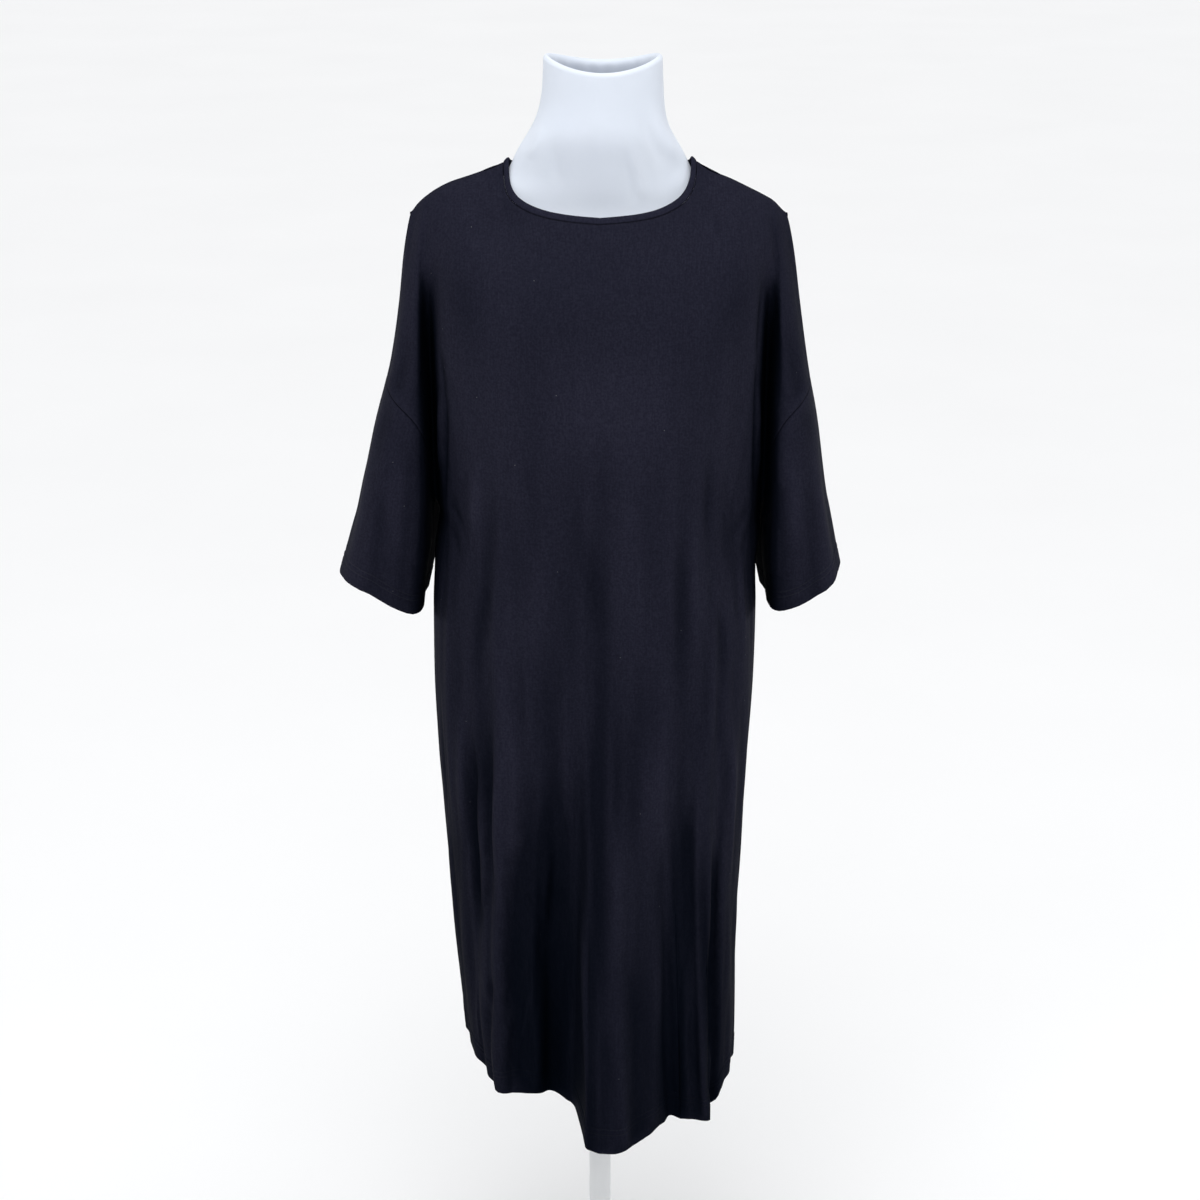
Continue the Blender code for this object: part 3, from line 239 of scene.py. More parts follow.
# The form: c_x its centre, half its width, reach in front and behind, squareness of the section.
TORSO_COLUMNS = ("z", "c_x", "half", "front", "back", "square")
TORSO = (
    (-655, 0, 128, 78, 82, 2.2),
    (-652, 0, 137, 86, 90, 2.2),
    (-640, 0, 143, 92, 95, 2.2),
    (-600, 0, 147, 95, 99, 2.2),
    (-540, 0, 144, 93, 97, 2.2),
    (-480, 0, 134, 88, 88, 2.2),
    (-420, 0, 127, 86, 82, 2.2),
    (-360, 0, 131, 92, 84, 2.2),
    (-290, 0, 141, 102, 90, 2.25),
    (-215, 0, 148, 103, 94, 2.3),
    (-150, 0, 154, 98, 92, 2.3),
    (-110, 0, 160, 88, 86, 2.3),
    (-88, 0, 163, 76, 78, 2.2),
    (-70, 0, 158, 62, 68, 2.1),
    (-54, 0, 141, 46, 60, 1.75),
    (-40, 0, 118, 42, 54, 1.65),
    (-28, 0, 103, 42, 52, 1.6),
    (-20, 0, 97, 42, 52, 1.6),
    (-14, 0, 93, 43, 52, 1.6),
    (-8, 0, 90, 44, 52, 1.65),
    (-3, 0, 89, 45, 52, 1.7),
    (4, 0, 86, 47, 52, 1.75),
    (11, 0, 81.5, 49, 52, 1.8),
    (22, 0, 74, 54, 53, 1.9),
    (38, 1, 66, 53, 53, 2.0),
    (58, 3, 61.5, 52, 53, 2.0),
    (80, 3, 60.5, 53, 54, 2.0),
    (87, 3, 60, 53, 54, 2.0),
)
NECK_EARS = 12.0  # how much higher the neck's top stands at its left and right than in front
NECK_RIM = 6.0  # width of the rounded rim
NECK_RECESS = 22.0  # depth of the hollow in the neck's top

# ---------------------------------------------------------------- curves
class Table:
    """Smooth monotone interpolation of a table's columns by its first one."""

    def __init__(self, columns, rows):
        rows = sorted(rows)
        data = np.array(rows, float)
        self.x, self.columns = data[:, 0], columns[1:]
        self.y = data[:, 1:]
        h = np.diff(self.x)[:, None]
        d = np.diff(self.y, axis=0) / h
        m = np.zeros_like(self.y)
        m[0], m[-1] = d[0], d[-1]
        if len(rows) > 2:
            w1, w2 = 2 * h[1:] + h[:-1], h[1:] + 2 * h[:-1]
            same = d[:-1] * d[1:] > 0
            safe = np.where(same, d[:-1], 1.0), np.where(same, d[1:], 1.0)
            m[1:-1] = np.where(same, (w1 + w2) / (w1 / safe[0] + w2 / safe[1]), 0.0)
        self.h, self.m = h[:, 0], m

    def __call__(self, x):
        x = np.clip(np.asarray(x, float), self.x[0], self.x[-1])
        k = np.clip(np.searchsorted(self.x, x, side="right") - 1, 0, len(self.h) - 1)
        h = self.h[k]
        u = (x - self.x[k]) / h
        u2, u3 = u * u, u * u * u
        parts = (2 * u3 - 3 * u2 + 1), (u3 - 2 * u2 + u) * h, (3 * u2 - 2 * u3), (u3 - u2) * h
        y = (
            parts[0][..., None] * self.y[k]
            + parts[1][..., None] * self.m[k]
            + parts[2][..., None] * self.y[k + 1]
            + parts[3][..., None] * self.m[k + 1]
        )
        return {name: y[..., i] for i, name in enumerate(self.columns)}


def smooth(x):
    x = np.clip(x, 0.0, 1.0)
    return x * x * (3 - 2 * x)


def length(v):
    return np.sqrt(np.maximum((v * v).sum(-1, keepdims=True), 1e-12))


def tangent(before, here, after):
    """The slope at a point of a curve whose parameter is the square root of distance."""
    d0, d1 = np.sqrt(length(here - before)), np.sqrt(length(after - here))
    return ((after - here) / d1 * d0 + (here - before) / d0 * d1) / (d0 + d1)


def hermite(p0, p1, m0, m1, u):
    d = np.sqrt(length(p1 - p0))
    u = u[..., None]
    u2, u3 = u * u, u * u * u
    return (2 * u3 - 3 * u2 + 1) * p0 + (u3 - 2 * u2 + u) * d * m0 + (3 * u2 - 2 * u3) * p1 + (u3 - u2) * d * m1


TABLES = {
    ("front", -1): Table(BODY_COLUMNS, FRONT_LEFT),
    ("front", 1): Table(BODY_COLUMNS, FRONT_RIGHT),
    ("back", -1): Table(BODY_COLUMNS, BACK_LEFT),
    ("back", 1): Table(BODY_COLUMNS, BACK_RIGHT),
    ("arm", -1): Table(ARM_COLUMNS, ARM_LEFT),
    ("arm", 1): Table(ARM_COLUMNS, ARM_RIGHT),
}
RIDGE_TABLE = Table(RIDGE_COLUMNS, RIDGE)
ROUND_TABLE = Table(ROUND_COLUMNS, ROUND)
NECK_TABLE = Table(NECK_COLUMNS, NECK_EDGE)
HEM_TABLE = Table(HEM_COLUMNS, HEM)
CUFF_TABLE = Table(CUFF_COLUMNS, CUFF)


def xy(x, y):
    return np.stack(np.broadcast_arrays(x, y), -1).astype(float)


def knots(z):
    """Every section point at heights z, by name and side."""
    f = {s: TABLES["front", s](z) for s in (-1, 1)}
    b = {s: TABLES["back", s](z) for s in (-1, 1)}
    a = {s: TABLES["arm", s](z) for s in (-1, 1)}
    out = {"cf": xy(0 * f[1]["c_y"], f[1]["c_y"]), "cb": xy(0 * b[1]["c_y"], b[1]["c_y"])}
    for s in (-1, 1):
        out["s", s], out["e", s] = xy(s * f[s]["s_x"], f[s]["s_y"]), xy(s * f[s]["e_x"], f[s]["e_y"])
        out["S", s], out["E", s] = xy(s * b[s]["s_x"], b[s]["s_y"]), xy(s * b[s]["e_x"], b[s]["e_y"])
        # below the underarm the two ends of a side lie either side of its seam
        low = z < UNDERARM
        half = np.where(low, SIDE_GAP + (UNDERARM_GAP - SIDE_GAP) * smooth((z - UNDERARM + 25) / 25), 0.0)
        out["v", s] = xy(s * f[s]["v_x"], np.where(low, 2.0 - half, f[s]["v_y"]))
        out["w", s] = xy(s * b[s]["v_x"], np.where(low, 2.0 + half, b[s]["v_y"]))
        for k in "imonj":
            out[k, s] = xy(s * a[s][k + "_x"], a[s][k + "_y"])
        # the sleeve's under seam starts at the same points and parts from the body below the underarm
        under = xy(s * a[s]["u_x"], a[s]["u_y"] - UNDERARM_GAP), xy(s * a[s]["u_x"], a[s]["u_y"] + UNDERARM_GAP)
        out["u", s] = np.where(low[:, None], under[0], out["v", s])
        out["U", s] = np.where(low[:, None], under[1], out["w", s])
        out["pinch"] = smooth((z - UNDERARM + PINCH_BELOW) / PINCH_BELOW)[:, None]
    return out


def body(k, side, tau):
    """A point of the loop round the body; tau 0 to 3 runs from the centre front to the side, 9 to 12 from the
    side to the centre back. Above the underarm the side is the bottom of a valley, so the curve turns out there."""
    mid = (k["v", side] + k["w", side]) / 2
    get = lambda n, s=side: k[n, s]
    ring = np.stack([get("s", -side), k["cf"], get("s"), get("e"), mid, get("E"), get("S"), k["cb"], get("S", -side)], 0)
    back = tau > 6
    m = np.where(back, tau - 6, tau)
    n = np.clip(np.floor(m).astype(int), 0, 5)
    n = np.where(back, np.maximum(n, 3), np.minimum(n, 2))
    u = m - n
    i = np.arange(len(tau))
    opens, closes = (n == 3)[:, None], (n == 2)[:, None]
    start = np.where(opens, k["w", side], ring[n + 1, i])
    end = np.where(closes, k["v", side], ring[n + 2, i])
    m0 = tangent(ring[n, i], ring[n + 1, i], ring[n + 2, i])
    m1 = tangent(ring[n + 1, i], ring[n + 2, i], ring[np.minimum(n + 3, 8), i])
    pinch = k["pinch"]
    m0 = np.where(opens, m0 + (tangent(k["j", side], k["w", side], k["E", side]) - m0) * pinch, m0)
    m1 = np.where(closes, m1 + (tangent(k["e", side], k["v", side], k["i", side]) - m1) * pinch, m1)
    return hermite(start, end, m0, m1, u)


def arm(k, side, tau):
    """A point of the loop round one sleeve; tau 3 and 9 are its under seam, or above the underarm the valleys."""
    mid = (k["u", side] + k["U", side]) / 2
    ring = np.stack([k["j", side], mid] + [k[x, side] for x in "imonj"] + [mid, k["i", side]], 0)
    n = np.clip(np.floor(tau - 3).astype(int), 0, 5)
    u = tau - 3 - n
    i = np.arange(len(tau))
    opens, closes = (n == 0)[:, None], (n == 5)[:, None]
    start = np.where(opens, k["u", side], ring[n + 1, i])
    end = np.where(closes, k["U", side], ring[n + 2, i])
    m0 = tangent(ring[n, i], ring[n + 1, i], ring[n + 2, i])
    m1 = tangent(ring[n + 1, i], ring[n + 2, i], ring[n + 3, i])
    pinch = k["pinch"]
    m0 = np.where(opens, m0 + (tangent(k["e", side], k["u", side], k["i", side]) - m0) * pinch, m0)
    m1 = np.where(closes, m1 + (tangent(k["j", side], k["U", side], k["E", side]) - m1) * pinch, m1)
    return hermite(start, end, m0, m1, u)


def section(k, side, tau, wing):
    inner = np.where(tau < 6, np.minimum(tau, 3.0), np.maximum(tau, 9.0))
    return np.where(np.asarray(wing)[:, None], arm(k, side, np.clip(tau, 3.0, 9.0)), body(k, side, inner))


def ridge(x, side):
    return RIDGE_TABLE(np.abs(x))["z_left" if side < 0 else "z_right"]


def over_shoulder(p, z, side):
    """Bend sections over the shoulder: their reach grows from nothing at the ridge."""
    ax = np.abs(p[:, 0])
    r = ROUND_TABLE(ax)
    deep = np.where(p[:, 1] < 0, r["front"], r["back"])
    h = np.clip((ridge(p[:, 0], side) - z) / deep, 0.0, 1.0)
    p[:, 1] *= (1 - (1 - h) ** 2) ** (1 / r["square"])
    return p


def neck_point(angle, side, lift=0.0):
    """A point on the neck edge (lift 0) or up the binding (lift 1); angle 0 is front, 180 back."""
    a = np.radians(angle)
    front = np.cos(a) > 0
    half = NECK_HALF - BAND_IN * lift
    reach = np.where(front, NECK_FRONT, NECK_BACK) - BAND_IN * lift
    z = NECK_TABLE(angle)["z_left" if side < 0 else "z_right"]
    rise = math.sqrt(BAND_HEIGHT**2 - BAND_IN**2)
    return np.stack([side * half * np.sin(a), -reach * np.cos(a), z + rise * lift], -1)


def neck_angle(t):
    return 90.0 * (0.5 * t + 0.5 * np.arcsin(np.clip(t, 0, 1)) * 2 / math.pi)


def top_edge(side, tau):
    """The panel's top edge at tau, as (x, y, z): the neck edge, then the shoulder ridge."""
    front = tau < 6.0
    t = np.where(front, tau, 12 - tau)
    p = section(knots(np.full_like(tau, -56.0)), side, tau, (tau > 3) & (tau < 9))
    ridge_z = ridge(p[:, 0], side)
    angle = neck_angle(np.minimum(t, 1.0))
    n = neck_point(np.where(front, angle, 180 - angle), side)
    out = np.stack([p[:, 0], np.zeros_like(tau), ridge_z], -1)
    return np.where((t < 1.0)[:, None], n, out)


def surface(side, tau, z, wing):
    """A point of the dress at place tau (0 to 12 round one half) and height z. wing marks what lies past the
    valley, on the sleeve's side. No neck edge and no folds yet."""
    tau, z = np.asarray(tau, float), np.asarray(z, float)
    return over_shoulder(section(knots(z), side, tau, wing), z, side)


def arc_lookup():
    """Distance round the body from the centre line, by height and place, for placing folds."""
    out = {}
    zs = np.linspace(-1080, -56, 33)
    t = np.linspace(0, 3, 61)
    for part, side in (("front", -1), ("front", 1), ("back", -1), ("back", 1)):
        rows = []
        for z in zs:
            tau = t if part == "front" else 12 - t
            p = body(knots(np.full_like(t, z)), side, tau)
            step = length(np.diff(p, axis=0))[:, 0]
            rows.append(np.concatenate([[0], np.cumsum(step)]))
        out[part, side] = np.array(rows)
    return zs, t, out


ARC_Z, ARC_T, ARC = arc_lookup()


def arc(part, side, t, z):
    g = ARC[part, side]
    fz = np.clip((z - ARC_Z[0]) / (ARC_Z[1] - ARC_Z[0]), 0, len(ARC_Z) - 1.001)
    ft = np.clip((t - ARC_T[0]) / (ARC_T[1] - ARC_T[0]), 0, len(ARC_T) - 1.001)
    a, b = fz.astype(int), ft.astype(int)
    u, v = fz - a, ft - b
    top = g[a, b] * (1 - v) + g[a, b + 1] * v
    bottom = g[a + 1, b] * (1 - v) + g[a + 1, b + 1] * v
    return side * (top * (1 - u) + bottom * u)


def fold_height(part, place, z, folds=FOLDS, z_hem=-1065.0):
    out = np.zeros_like(z)
    for row in folds:
        f = dict(zip(FOLD_COLUMNS, row))
        if f["side"] != part:
            continue
        d = np.clip((f["z_top"] - z) / (f["z_top"] - z_hem), 0, 1.1)
        left = f["left_top"] + (f["left_hem"] - f["left_top"]) * d
        right = f["right_top"] + (f["right_hem"] - f["right_top"]) * d
        rise = smooth((place - left) / f["flank_left"])
        fall = smooth((right - place) / f["flank_right"])
        out += f["height"] * d ** f["power"] * rise * fall
    return out


def neck_curve(side, back):
    """The neck edge by its unshifted x and its z, and the shift that brings the section there onto it."""
    t = np.sin(np.linspace(0, math.pi / 2, 90)) * 0.999999
    tau = 12 - t if back else t
    edge = top_edge(side, tau)
    base = surface(side, tau, np.minimum(edge[:, 2], 60), np.zeros(len(t), bool))
    return base[:, 0], edge[:, 2], edge[:, :2] - base


NECK_CURVES = {(s, b): neck_curve(s, b) for s in (-1, 1) for b in (False, True)}


def neck_shift(side, back, x, z):
    """The neck edge's shift, dying away with the distance from the edge."""
    ex, ez, shift = NECK_CURVES[side, back]
    d = np.hypot(x[:, None] - ex, z[:, None] - ez)
    least = d.min(1, keepdims=True)
    weight = np.exp(-(d - least) / 2.0)
    weight /= weight.sum(1, keepdims=True)
    return weight @ shift * (1 - smooth(least / NECK_FADE))


def dress_point(side, tau, z, wing=None, folds=True):
    """A point of the finished dress, in millimetres, with z from the high shoulder point."""
    tau, z = np.atleast_1d(np.asarray(tau, float)), np.atleast_1d(np.asarray(z, float))
    tau, z = np.broadcast_arrays(tau, z)
    wing = np.zeros(tau.shape, bool) if wing is None else np.broadcast_to(wing, tau.shape)
    p = surface(side, tau, z, wing)
    out = np.concatenate([p, z[:, None]], 1)
    t = np.where(tau < 6, tau, 12 - tau)
    # the neck edge: shift what hangs near it so that its top lies on the edge
    for back in (False, True):
        near = ((tau > 6) == back) & (z > -190) & ~wing
        if near.any():
            out[near, :2] += neck_shift(side, back, p[near, 0], z[near])
    if folds:
        low = (t <= 3.0) & (z < -300)
        if low.any():
            for part, is_part in (("front", tau < 6), ("back", tau > 6)):
                pick = low & is_part & ~wing
                if pick.any():
                    h = fold_height(part, arc(part, side, t[pick], z[pick]), z[pick])
                    s = 1 if part == "front" else -1
                    e = 0.01
                    tt = np.clip(t[pick], e, 3 - e)
                    k = knots(z[pick])
                    a = body(k, side, tt + e if part == "front" else 12 - tt - e)
                    b = body(k, side, tt - e if part == "front" else 12 - tt + e)
                    d = a - b
                    d /= length(d)
                    normal = np.stack([-d[:, 1] * -side * s, d[:, 0] * -side * s], -1)
                    normal = np.where(((normal * p[pick]).sum(-1) < 0)[:, None], -normal, normal)
                    # folds die away at the side seams
                    edge = smooth((3.0 - t[pick]) / 0.35)
                    out[pick, :2] += normal * (h * edge)[:, None]
    return out


def top_z(side, tau):
    return top_edge(side, np.atleast_1d(np.asarray(tau, float)))[:, 2]


def hem_z(side, tau):
    tau = np.atleast_1d(np.asarray(tau, float))
    front = tau < 6
    row = HEM_TABLE(np.where(front, tau, 12 - tau))
    part = "left" if side < 0 else "right"
    return np.where(front, row["front_" + part], row["back_" + part])


def seam_reach(q):
    """How far past the valley the drop-shoulder seam lies: 3 places at the over-arm (q 1), none at the underarm."""
    return 3.0 * (0.6 * q**4 + 0.4 * q)


def top_rows():
    return np.array(list(TOP_ROWS) + [1 - q * (1 - OVERARM_DROP) for q in SEAM_STEPS])


def wing_reach(r):
    q = np.clip((1 - r) / (1 - OVERARM_DROP), 0, 1)
    return np.where(r <= OVERARM_DROP, 3.0, seam_reach(q))


# ---------------------------------------------------------------- fine detail, in the same millimetres
# Creases: soft ridges (height above 0) and troughs. x is the distance along the cloth from the centre line on
# the body (photo-left negative), or from the over-arm line on a sleeve (front negative). An end fades over a
# share of the length, bow bends the line to the right, and each side has its own width.
CREASE_COLUMNS = ("piece", "x_top", "z_top", "x_bottom", "z_bottom", "bow", "width_left", "width_right", "height", "fade_top", "fade_bottom")
CREASES = (
    # the body's front: long soft drape lines from the chest down
    ("front", -24, -330, -14, -480, 3, 9, 7, -1.5, 0.5, 0.5),
    ("front", -10, -345, 4, -505, -3, 7, 9, -1.4, 0.5, 0.5),
    ("front", -17, -340, -5, -500, 0, 6, 6, 1.0, 0.5, 0.5),
    ("front", 84, -345, 82, -560, 4, 9, 14, -2.0, 0.4, 0.5),
    ("front", 96, -330, 93, -520, 3, 9, 9, 1.5, 0.5, 0.5),
    ("front", 118, -275, 122, -430, -2, 6, 10, -1.8, 0.4, 0.6),
    ("front", 131, -440, 138, -560, 2, 5, 8, -2.2, 0.4, 0.5),
    ("front", 142, -290, 150, -470, 5, 14, 10, -1.6, 0.5, 0.5),
    ("front", -112, -300, -128, -520, -3, 9, 12, -1.9, 0.4, 0.4),
    ("front", -126, -420, -140, -585, -2, 7, 9, -1.6, 0.4, 0.5),
    ("front", -133, -290, -150, -400, 2, 10, 8, 1.8, 0.5, 0.5),
    ("front", -98, -320, -86, -490, 4, 11, 11, -1.1, 0.5, 0.5),
    ("front", -60, -360, -66, -560, -4, 16, 14, 1.1, 0.5, 0.5),
    ("front", 40, -380, 46, -600, 4, 18, 14, 0.9, 0.5, 0.5),
    # where the body turns into the valleys beside the sleeves, down to the underarms
    ("front", -182, -180, -180, -262, 1, 4, 6, -1.8, 0.4, 0.4),
    ("front", -176, -232, -197, -356, 1, 4, 5, -2.8, 0.3, 0.2),
    ("front", -190, -228, -212, -340, 2, 7, 6, 2.0, 0.4, 0.3),
    ("front", 190, -112, 180, -205, -1, 6, 4, -1.8, 0.4, 0.4),
    ("front", 180, -190, 198, -352, -1, 5, 4, -2.6, 0.3, 0.2),
    ("front", 193, -225, 213, -345, -2, 6, 7, 2.0, 0.4, 0.3),
    # small pulls running in from the underarms
    ("front", -186, -352, -150, -392, 3, 4, 6, -1.3, 0.3, 0.6),
    ("front", -190, -372, -158, -425, 3, 4, 6, -1.0, 0.3, 0.6),
    ("front", 188, -356, 152, -398, -3, 6, 4, -1.3, 0.3, 0.6),
    ("front", 190, -380, 160, -440, -3, 6, 4, -1.0, 0.3, 0.6),
    # above the bust line it is nearly smooth
    ("front", -150, -70, -120, -210, -6, 26, 20, -1.3, 0.5, 0.6),
    ("front", 150, -75, 122, -215, 6, 20, 26, -1.3, 0.5, 0.6),
    ("front", 0, -150, 4, -330, 0, 60, 60, 1.6, 0.5, 0.5),
    # lower front, left of the flute
    ("front", -104, -600, -110, -1060, -3, 7, 10, 1.6, 0.3, 0.05),
    ("front", -118, -560, -126, -900, -2, 6, 6, -1.5, 0.3, 0.3),
    ("front", -130, -640, -136, -1000, 2, 6, 8, 1.4, 0.3, 0.2),
    ("front", -144, -590, -146, -870, -2, 5, 7, -1.9, 0.3, 0.3),
    ("front", -154, -700, -150, -1005, 2, 5, 6, 1.2, 0.3, 0.2),
    ("front", -160, -540, -163, -760, 2, 7, 6, 1.8, 0.4, 0.4),
    ("front", -82, -640, -92, -1040, -5, 12, 16, -2.2, 0.4, 0.1),
    ("front", -70, -830, -64, -1055, 3, 12, 9, 1.7, 0.4, 0.05),
    ("front", -88, -770, -66, -800, 2, 4, 5, 0.9, 0.4, 0.4),
    ("front", -80, -800, -60, -812, -2, 4, 4, -0.8, 0.4, 0.4),
    ("front", -96, -905, -112, -1000, 2, 5, 5, 0.9, 0.4, 0.4),
    ("front", -112, -870, -128, -985, -3, 5, 6, -1.1, 0.4, 0.4),
    ("front", -50, -600, -56, -900, 3, 14, 12, -1.3, 0.5, 0.4),
    ("front", -22, -760, -17, -1066, 2, 3.2, 4.5, 1.5, 0.3, 0.02),
    ("front", -34, -620, -52, -1058, -3, 9, 10, -2.0, 0.4, 0.04),
    ("front", -70, -640, -72, -1050, -3, 6, 9, 0.9, 0.4, 0.1),
    ("front", -56, -610, -59, -1062, 2, 19, 15, -4.2, 0.5, 0.0001),
    ("front", -92, -560, -101, -760, 4, 5, 7, 1.3, 0.4, 0.4),
    ("front", -116, -700, -104, -880, -4, 4, 6, -1.1, 0.4, 0.4),
    ("front", -78, -880, -96, -990, 3, 4, 6, 1.0, 0.4, 0.4),
    ("front", -128, -930, -112, -1040, 2, 4, 5, 0.9, 0.4, 0.2),
    ("front", -46, -700, -62, -840, -3, 5, 6, 0.9, 0.4, 0.4),
    ("front", -40, -880, -50, -1010, 2, 5, 5, -0.8, 0.4, 0.3),
    ("front", -128, -620, -134, -1030, 0, 22, 24, 1.0, 0.3, 0.1),
    ("front", -150, -640, -136, -760, 3, 4, 5, 1.1, 0.4, 0.4),
    ("front", -122, -770, -140, -850, -3, 4, 5, -1.0, 0.4, 0.4),
    ("front", -84, -700, -100, -742, 3, 4, 4, 0.8, 0.4, 0.4),
    ("front", -136, -880, -120, -960, 3, 4, 5, 0.9, 0.4, 0.4),
    # the flute and what lies right of it
    ("front", 103, -600, 116, -1066, -2, 3, 3.5, 1.4, 0.3, 0.02),
    ("front", 76, -640, 88, -1066, 3, 6, 7, -2.6, 0.4, 0.03),
    ("front", 126, -700, 133, -1000, 2, 4, 5, -2.0, 0.3, 0.1),
    ("front", 52, -700, 60, -1066, 3, 6, 8, 1.0, 0.5, 0.05),
    ("front", 18, -880, 30, -1066, -2, 5, 6, 0.8, 0.4, 0.05),
    ("front", 14, -560, 22, -900, 3, 14, 12, 1.1, 0.5, 0.4),
    ("front", 30, -820, 44, -1065, 4, 9, 12, -1.5, 0.4, 0.05),
    ("front", 4, -900, 2, -1068, 2, 9, 9, -1.0, 0.4, 0.05),
    ("front", 92, -620, 96, -930, 2, 7, 8, -1.3, 0.4, 0.4),
    ("front", 108, -560, 114, -800, -3, 8, 8, 1.2, 0.4, 0.4),
    ("front", 118, -800, 122, -1050, 2, 6, 8, -1.2, 0.4, 0.1),
    ("front", 60, -600, 66, -760, 3, 9, 8, 0.9, 0.5, 0.5),
    ("front", 150, -560, 155, -830, 2, 6, 7, 1.3, 0.4, 0.4),
    ("front", 134, -880, 136, -1045, -2, 4, 5, 0.9, 0.4, 0.1),
    # the back: hidden, so of the same kind
    ("back", -30, -90, -96, -210, 6, 20, 26, -1.8, 0.5, 0.5),
    ("back", 34, -95, 92, -230, -6, 24, 20, -1.6, 0.5, 0.5),
    ("back", -8, -240, 3, -520, 5, 22, 18, -2.4, 0.5, 0.5),
    ("back", -52, -270, -44, -560, -4, 14, 18, 2.0, 0.5, 0.5),
    ("back", 48, -260, 58, -590, 4, 18, 14, 2.2, 0.5, 0.5),
    ("back", -96, -330, -106, -640, -3, 12, 10, -2.1, 0.4, 0.5),
    ("back", 92, -300, 104, -660, 4, 10, 14, -2.3, 0.4, 0.5),
    ("back", 128, -330, 138, -610, 2, 8, 9, 1.8, 0.4, 0.5),
    ("back", -136, -300, -146, -590, -3, 9, 8, 1.9, 0.4, 0.5),
    ("back", -128, -640, -138, -1030, 2, 8, 9, -1.7, 0.3, 0.05),
    ("back", -64, -660, -76, -1030, -4, 12, 10, -1.9, 0.4, 0.05),
    ("back", 66, -700, 70, -1040, 3, 10, 12, 1.6, 0.4, 0.05),
    ("back", 20, -640, 30, -900, -3, 9, 11, -1.5, 0.4, 0.4),
    ("back", 112, -720, 118, -1045, 3, 7, 9, -1.8, 0.4, 0.05),
    ("back", 140, -600, 146, -930, -2, 6, 6, 1.3, 0.4, 0.4),
    ("back", -108, -560, -112, -760, 2, 7, 8, 1.4, 0.4, 0.4),
    ("back", -18, -720, -26, -1030, 3, 10, 8, 1.5, 0.4, 0.05),
    ("back", 8, -470, 62, -492, -4, 7, 9, -1.1, 0.5, 0.5),
    ("back", -74, -500, -20, -520, 3, 8, 7, -1.0, 0.5, 0.5),
    # the sleeves, in front (x below 0) and behind
    ("arm_left", -46, -150, -34, -330, -5, 9, 12, -2.0, 0.4, 0.4),
    ("arm_left", -20, -120, -16, -300, 4, 12, 10, -1.6, 0.4, 0.5),
    ("arm_left", -34, -290, -40, -478, 4, 9, 12, 1.8, 0.4, 0.1),
    ("arm_left", -58, -330, -66, -484, -3, 9, 8, -2.2, 0.3, 0.1),
    ("arm_left", -10, -250, -6, -455, 3, 10, 9, -1.5, 0.4, 0.2),
    ("arm_left", -76, -300, -88, -430, 3, 8, 10, 1.8, 0.4, 0.3),
    ("arm_left", 30, -150, 24, -360, 4, 12, 10, -2.0, 0.4, 0.4),
    ("arm_left", 52, -240, 60, -470, -4, 10, 9, 2.0, 0.4, 0.1),
    ("arm_left", 78, -280, 84, -440, 3, 9, 10, -2.2, 0.4, 0.3),
    ("arm_left", -30, -232, 0, -236, 0, 5, 3, -1.2, 0.4, 0.4),
    ("arm_left", 8, -300, 22, -440, -3, 9, 9, 1.3, 0.4, 0.3),
    ("arm_right", -44, -150, -36, -320, -5, 12, 9, -2.0, 0.4, 0.4),
    ("arm_right", -18, -110, -14, -290, 4, 10, 12, -1.5, 0.4, 0.5),
    ("arm_right", -30, -270, -38, -470, -4, 12, 9, 1.7, 0.4, 0.1),
    ("arm_right", -56, -320, -62, -476, 3, 8, 9, -2.1, 0.3, 0.1),
    ("arm_right", -8, -260, -12, -445, -3, 9, 10, -1.5, 0.4, 0.2),
    ("arm_right", -74, -290, -82, -420, 3, 8, 10, 1.7, 0.4, 0.3),
    ("arm_right", 28, -160, 26, -370, 4, 10, 12, -2.1, 0.4, 0.4),
    ("arm_right", 50, -250, 56, -460, -4, 9, 10, 1.9, 0.4, 0.1),
    ("arm_right", 74, -290, 80, -430, 3, 10, 9, -2.0, 0.4, 0.3),
    ("arm_right", -32, -236, 4, -228, 0, 3, 5, -1.1, 0.4, 0.4),
)
# Small ripples of the knit hanging under its own weight: rows of (across mm, along mm, height mm, seed).
RIPPLE_COLUMNS = ("across", "along", "height", "seed")
RIPPLES = ((17, 210, 1.0, 3), (9.5, 110, 0.9, 11), (34, 330, 1.7, 23), (6.0, 60, 0.35, 37))
CREASE_GAIN = 1.1  # how much deeper the creases are at the hem than at the chest

HEM_DEPTH = 27.0  # of the turned hem, to its upper stitch line
CUFF_DEPTH = 22.0
STITCH_ROWS = 6.0  # between the two lines of stitching
SHELL = 0.9  # thickness of the cloth as drawn


def crease_height(piece, x, z):
    out = np.zeros_like(z)
    for row in CREASES:
        c = dict(zip(CREASE_COLUMNS, row))
        if c["piece"] != piece:
            continue
        dx, dz = c["x_bottom"] - c["x_top"], c["z_bottom"] - c["z_top"]
        span = math.hypot(dx, dz)
        u = ((x - c["x_top"]) * dx + (z - c["z_top"]) * dz) / span**2
        s = ((x - c["x_top"]) * -dz + (z - c["z_top"]) * dx) / span
        s = s - c["bow"] * 4 * u * (1 - u)
        w = np.where(s < 0, c["width_left"], c["width_right"])
        ends = smooth(u / c["fade_top"]) * smooth((1 - u) / c["fade_bottom"])
        out += c["height"] * np.exp(-((s / w) ** 2)) * ends
    return out * (1.35 + CREASE_GAIN * smooth((-z - 500) / 250)) if piece in ("front", "back") else out


def lattice(i, j, seed):
    """A fixed scatter of numbers from -1 to 1 on a grid."""
    v = np.sin(i * 127.1 + j * 311.7 + seed * 74.7) * 43758.5453
    return (v - np.floor(v)) * 2 - 1


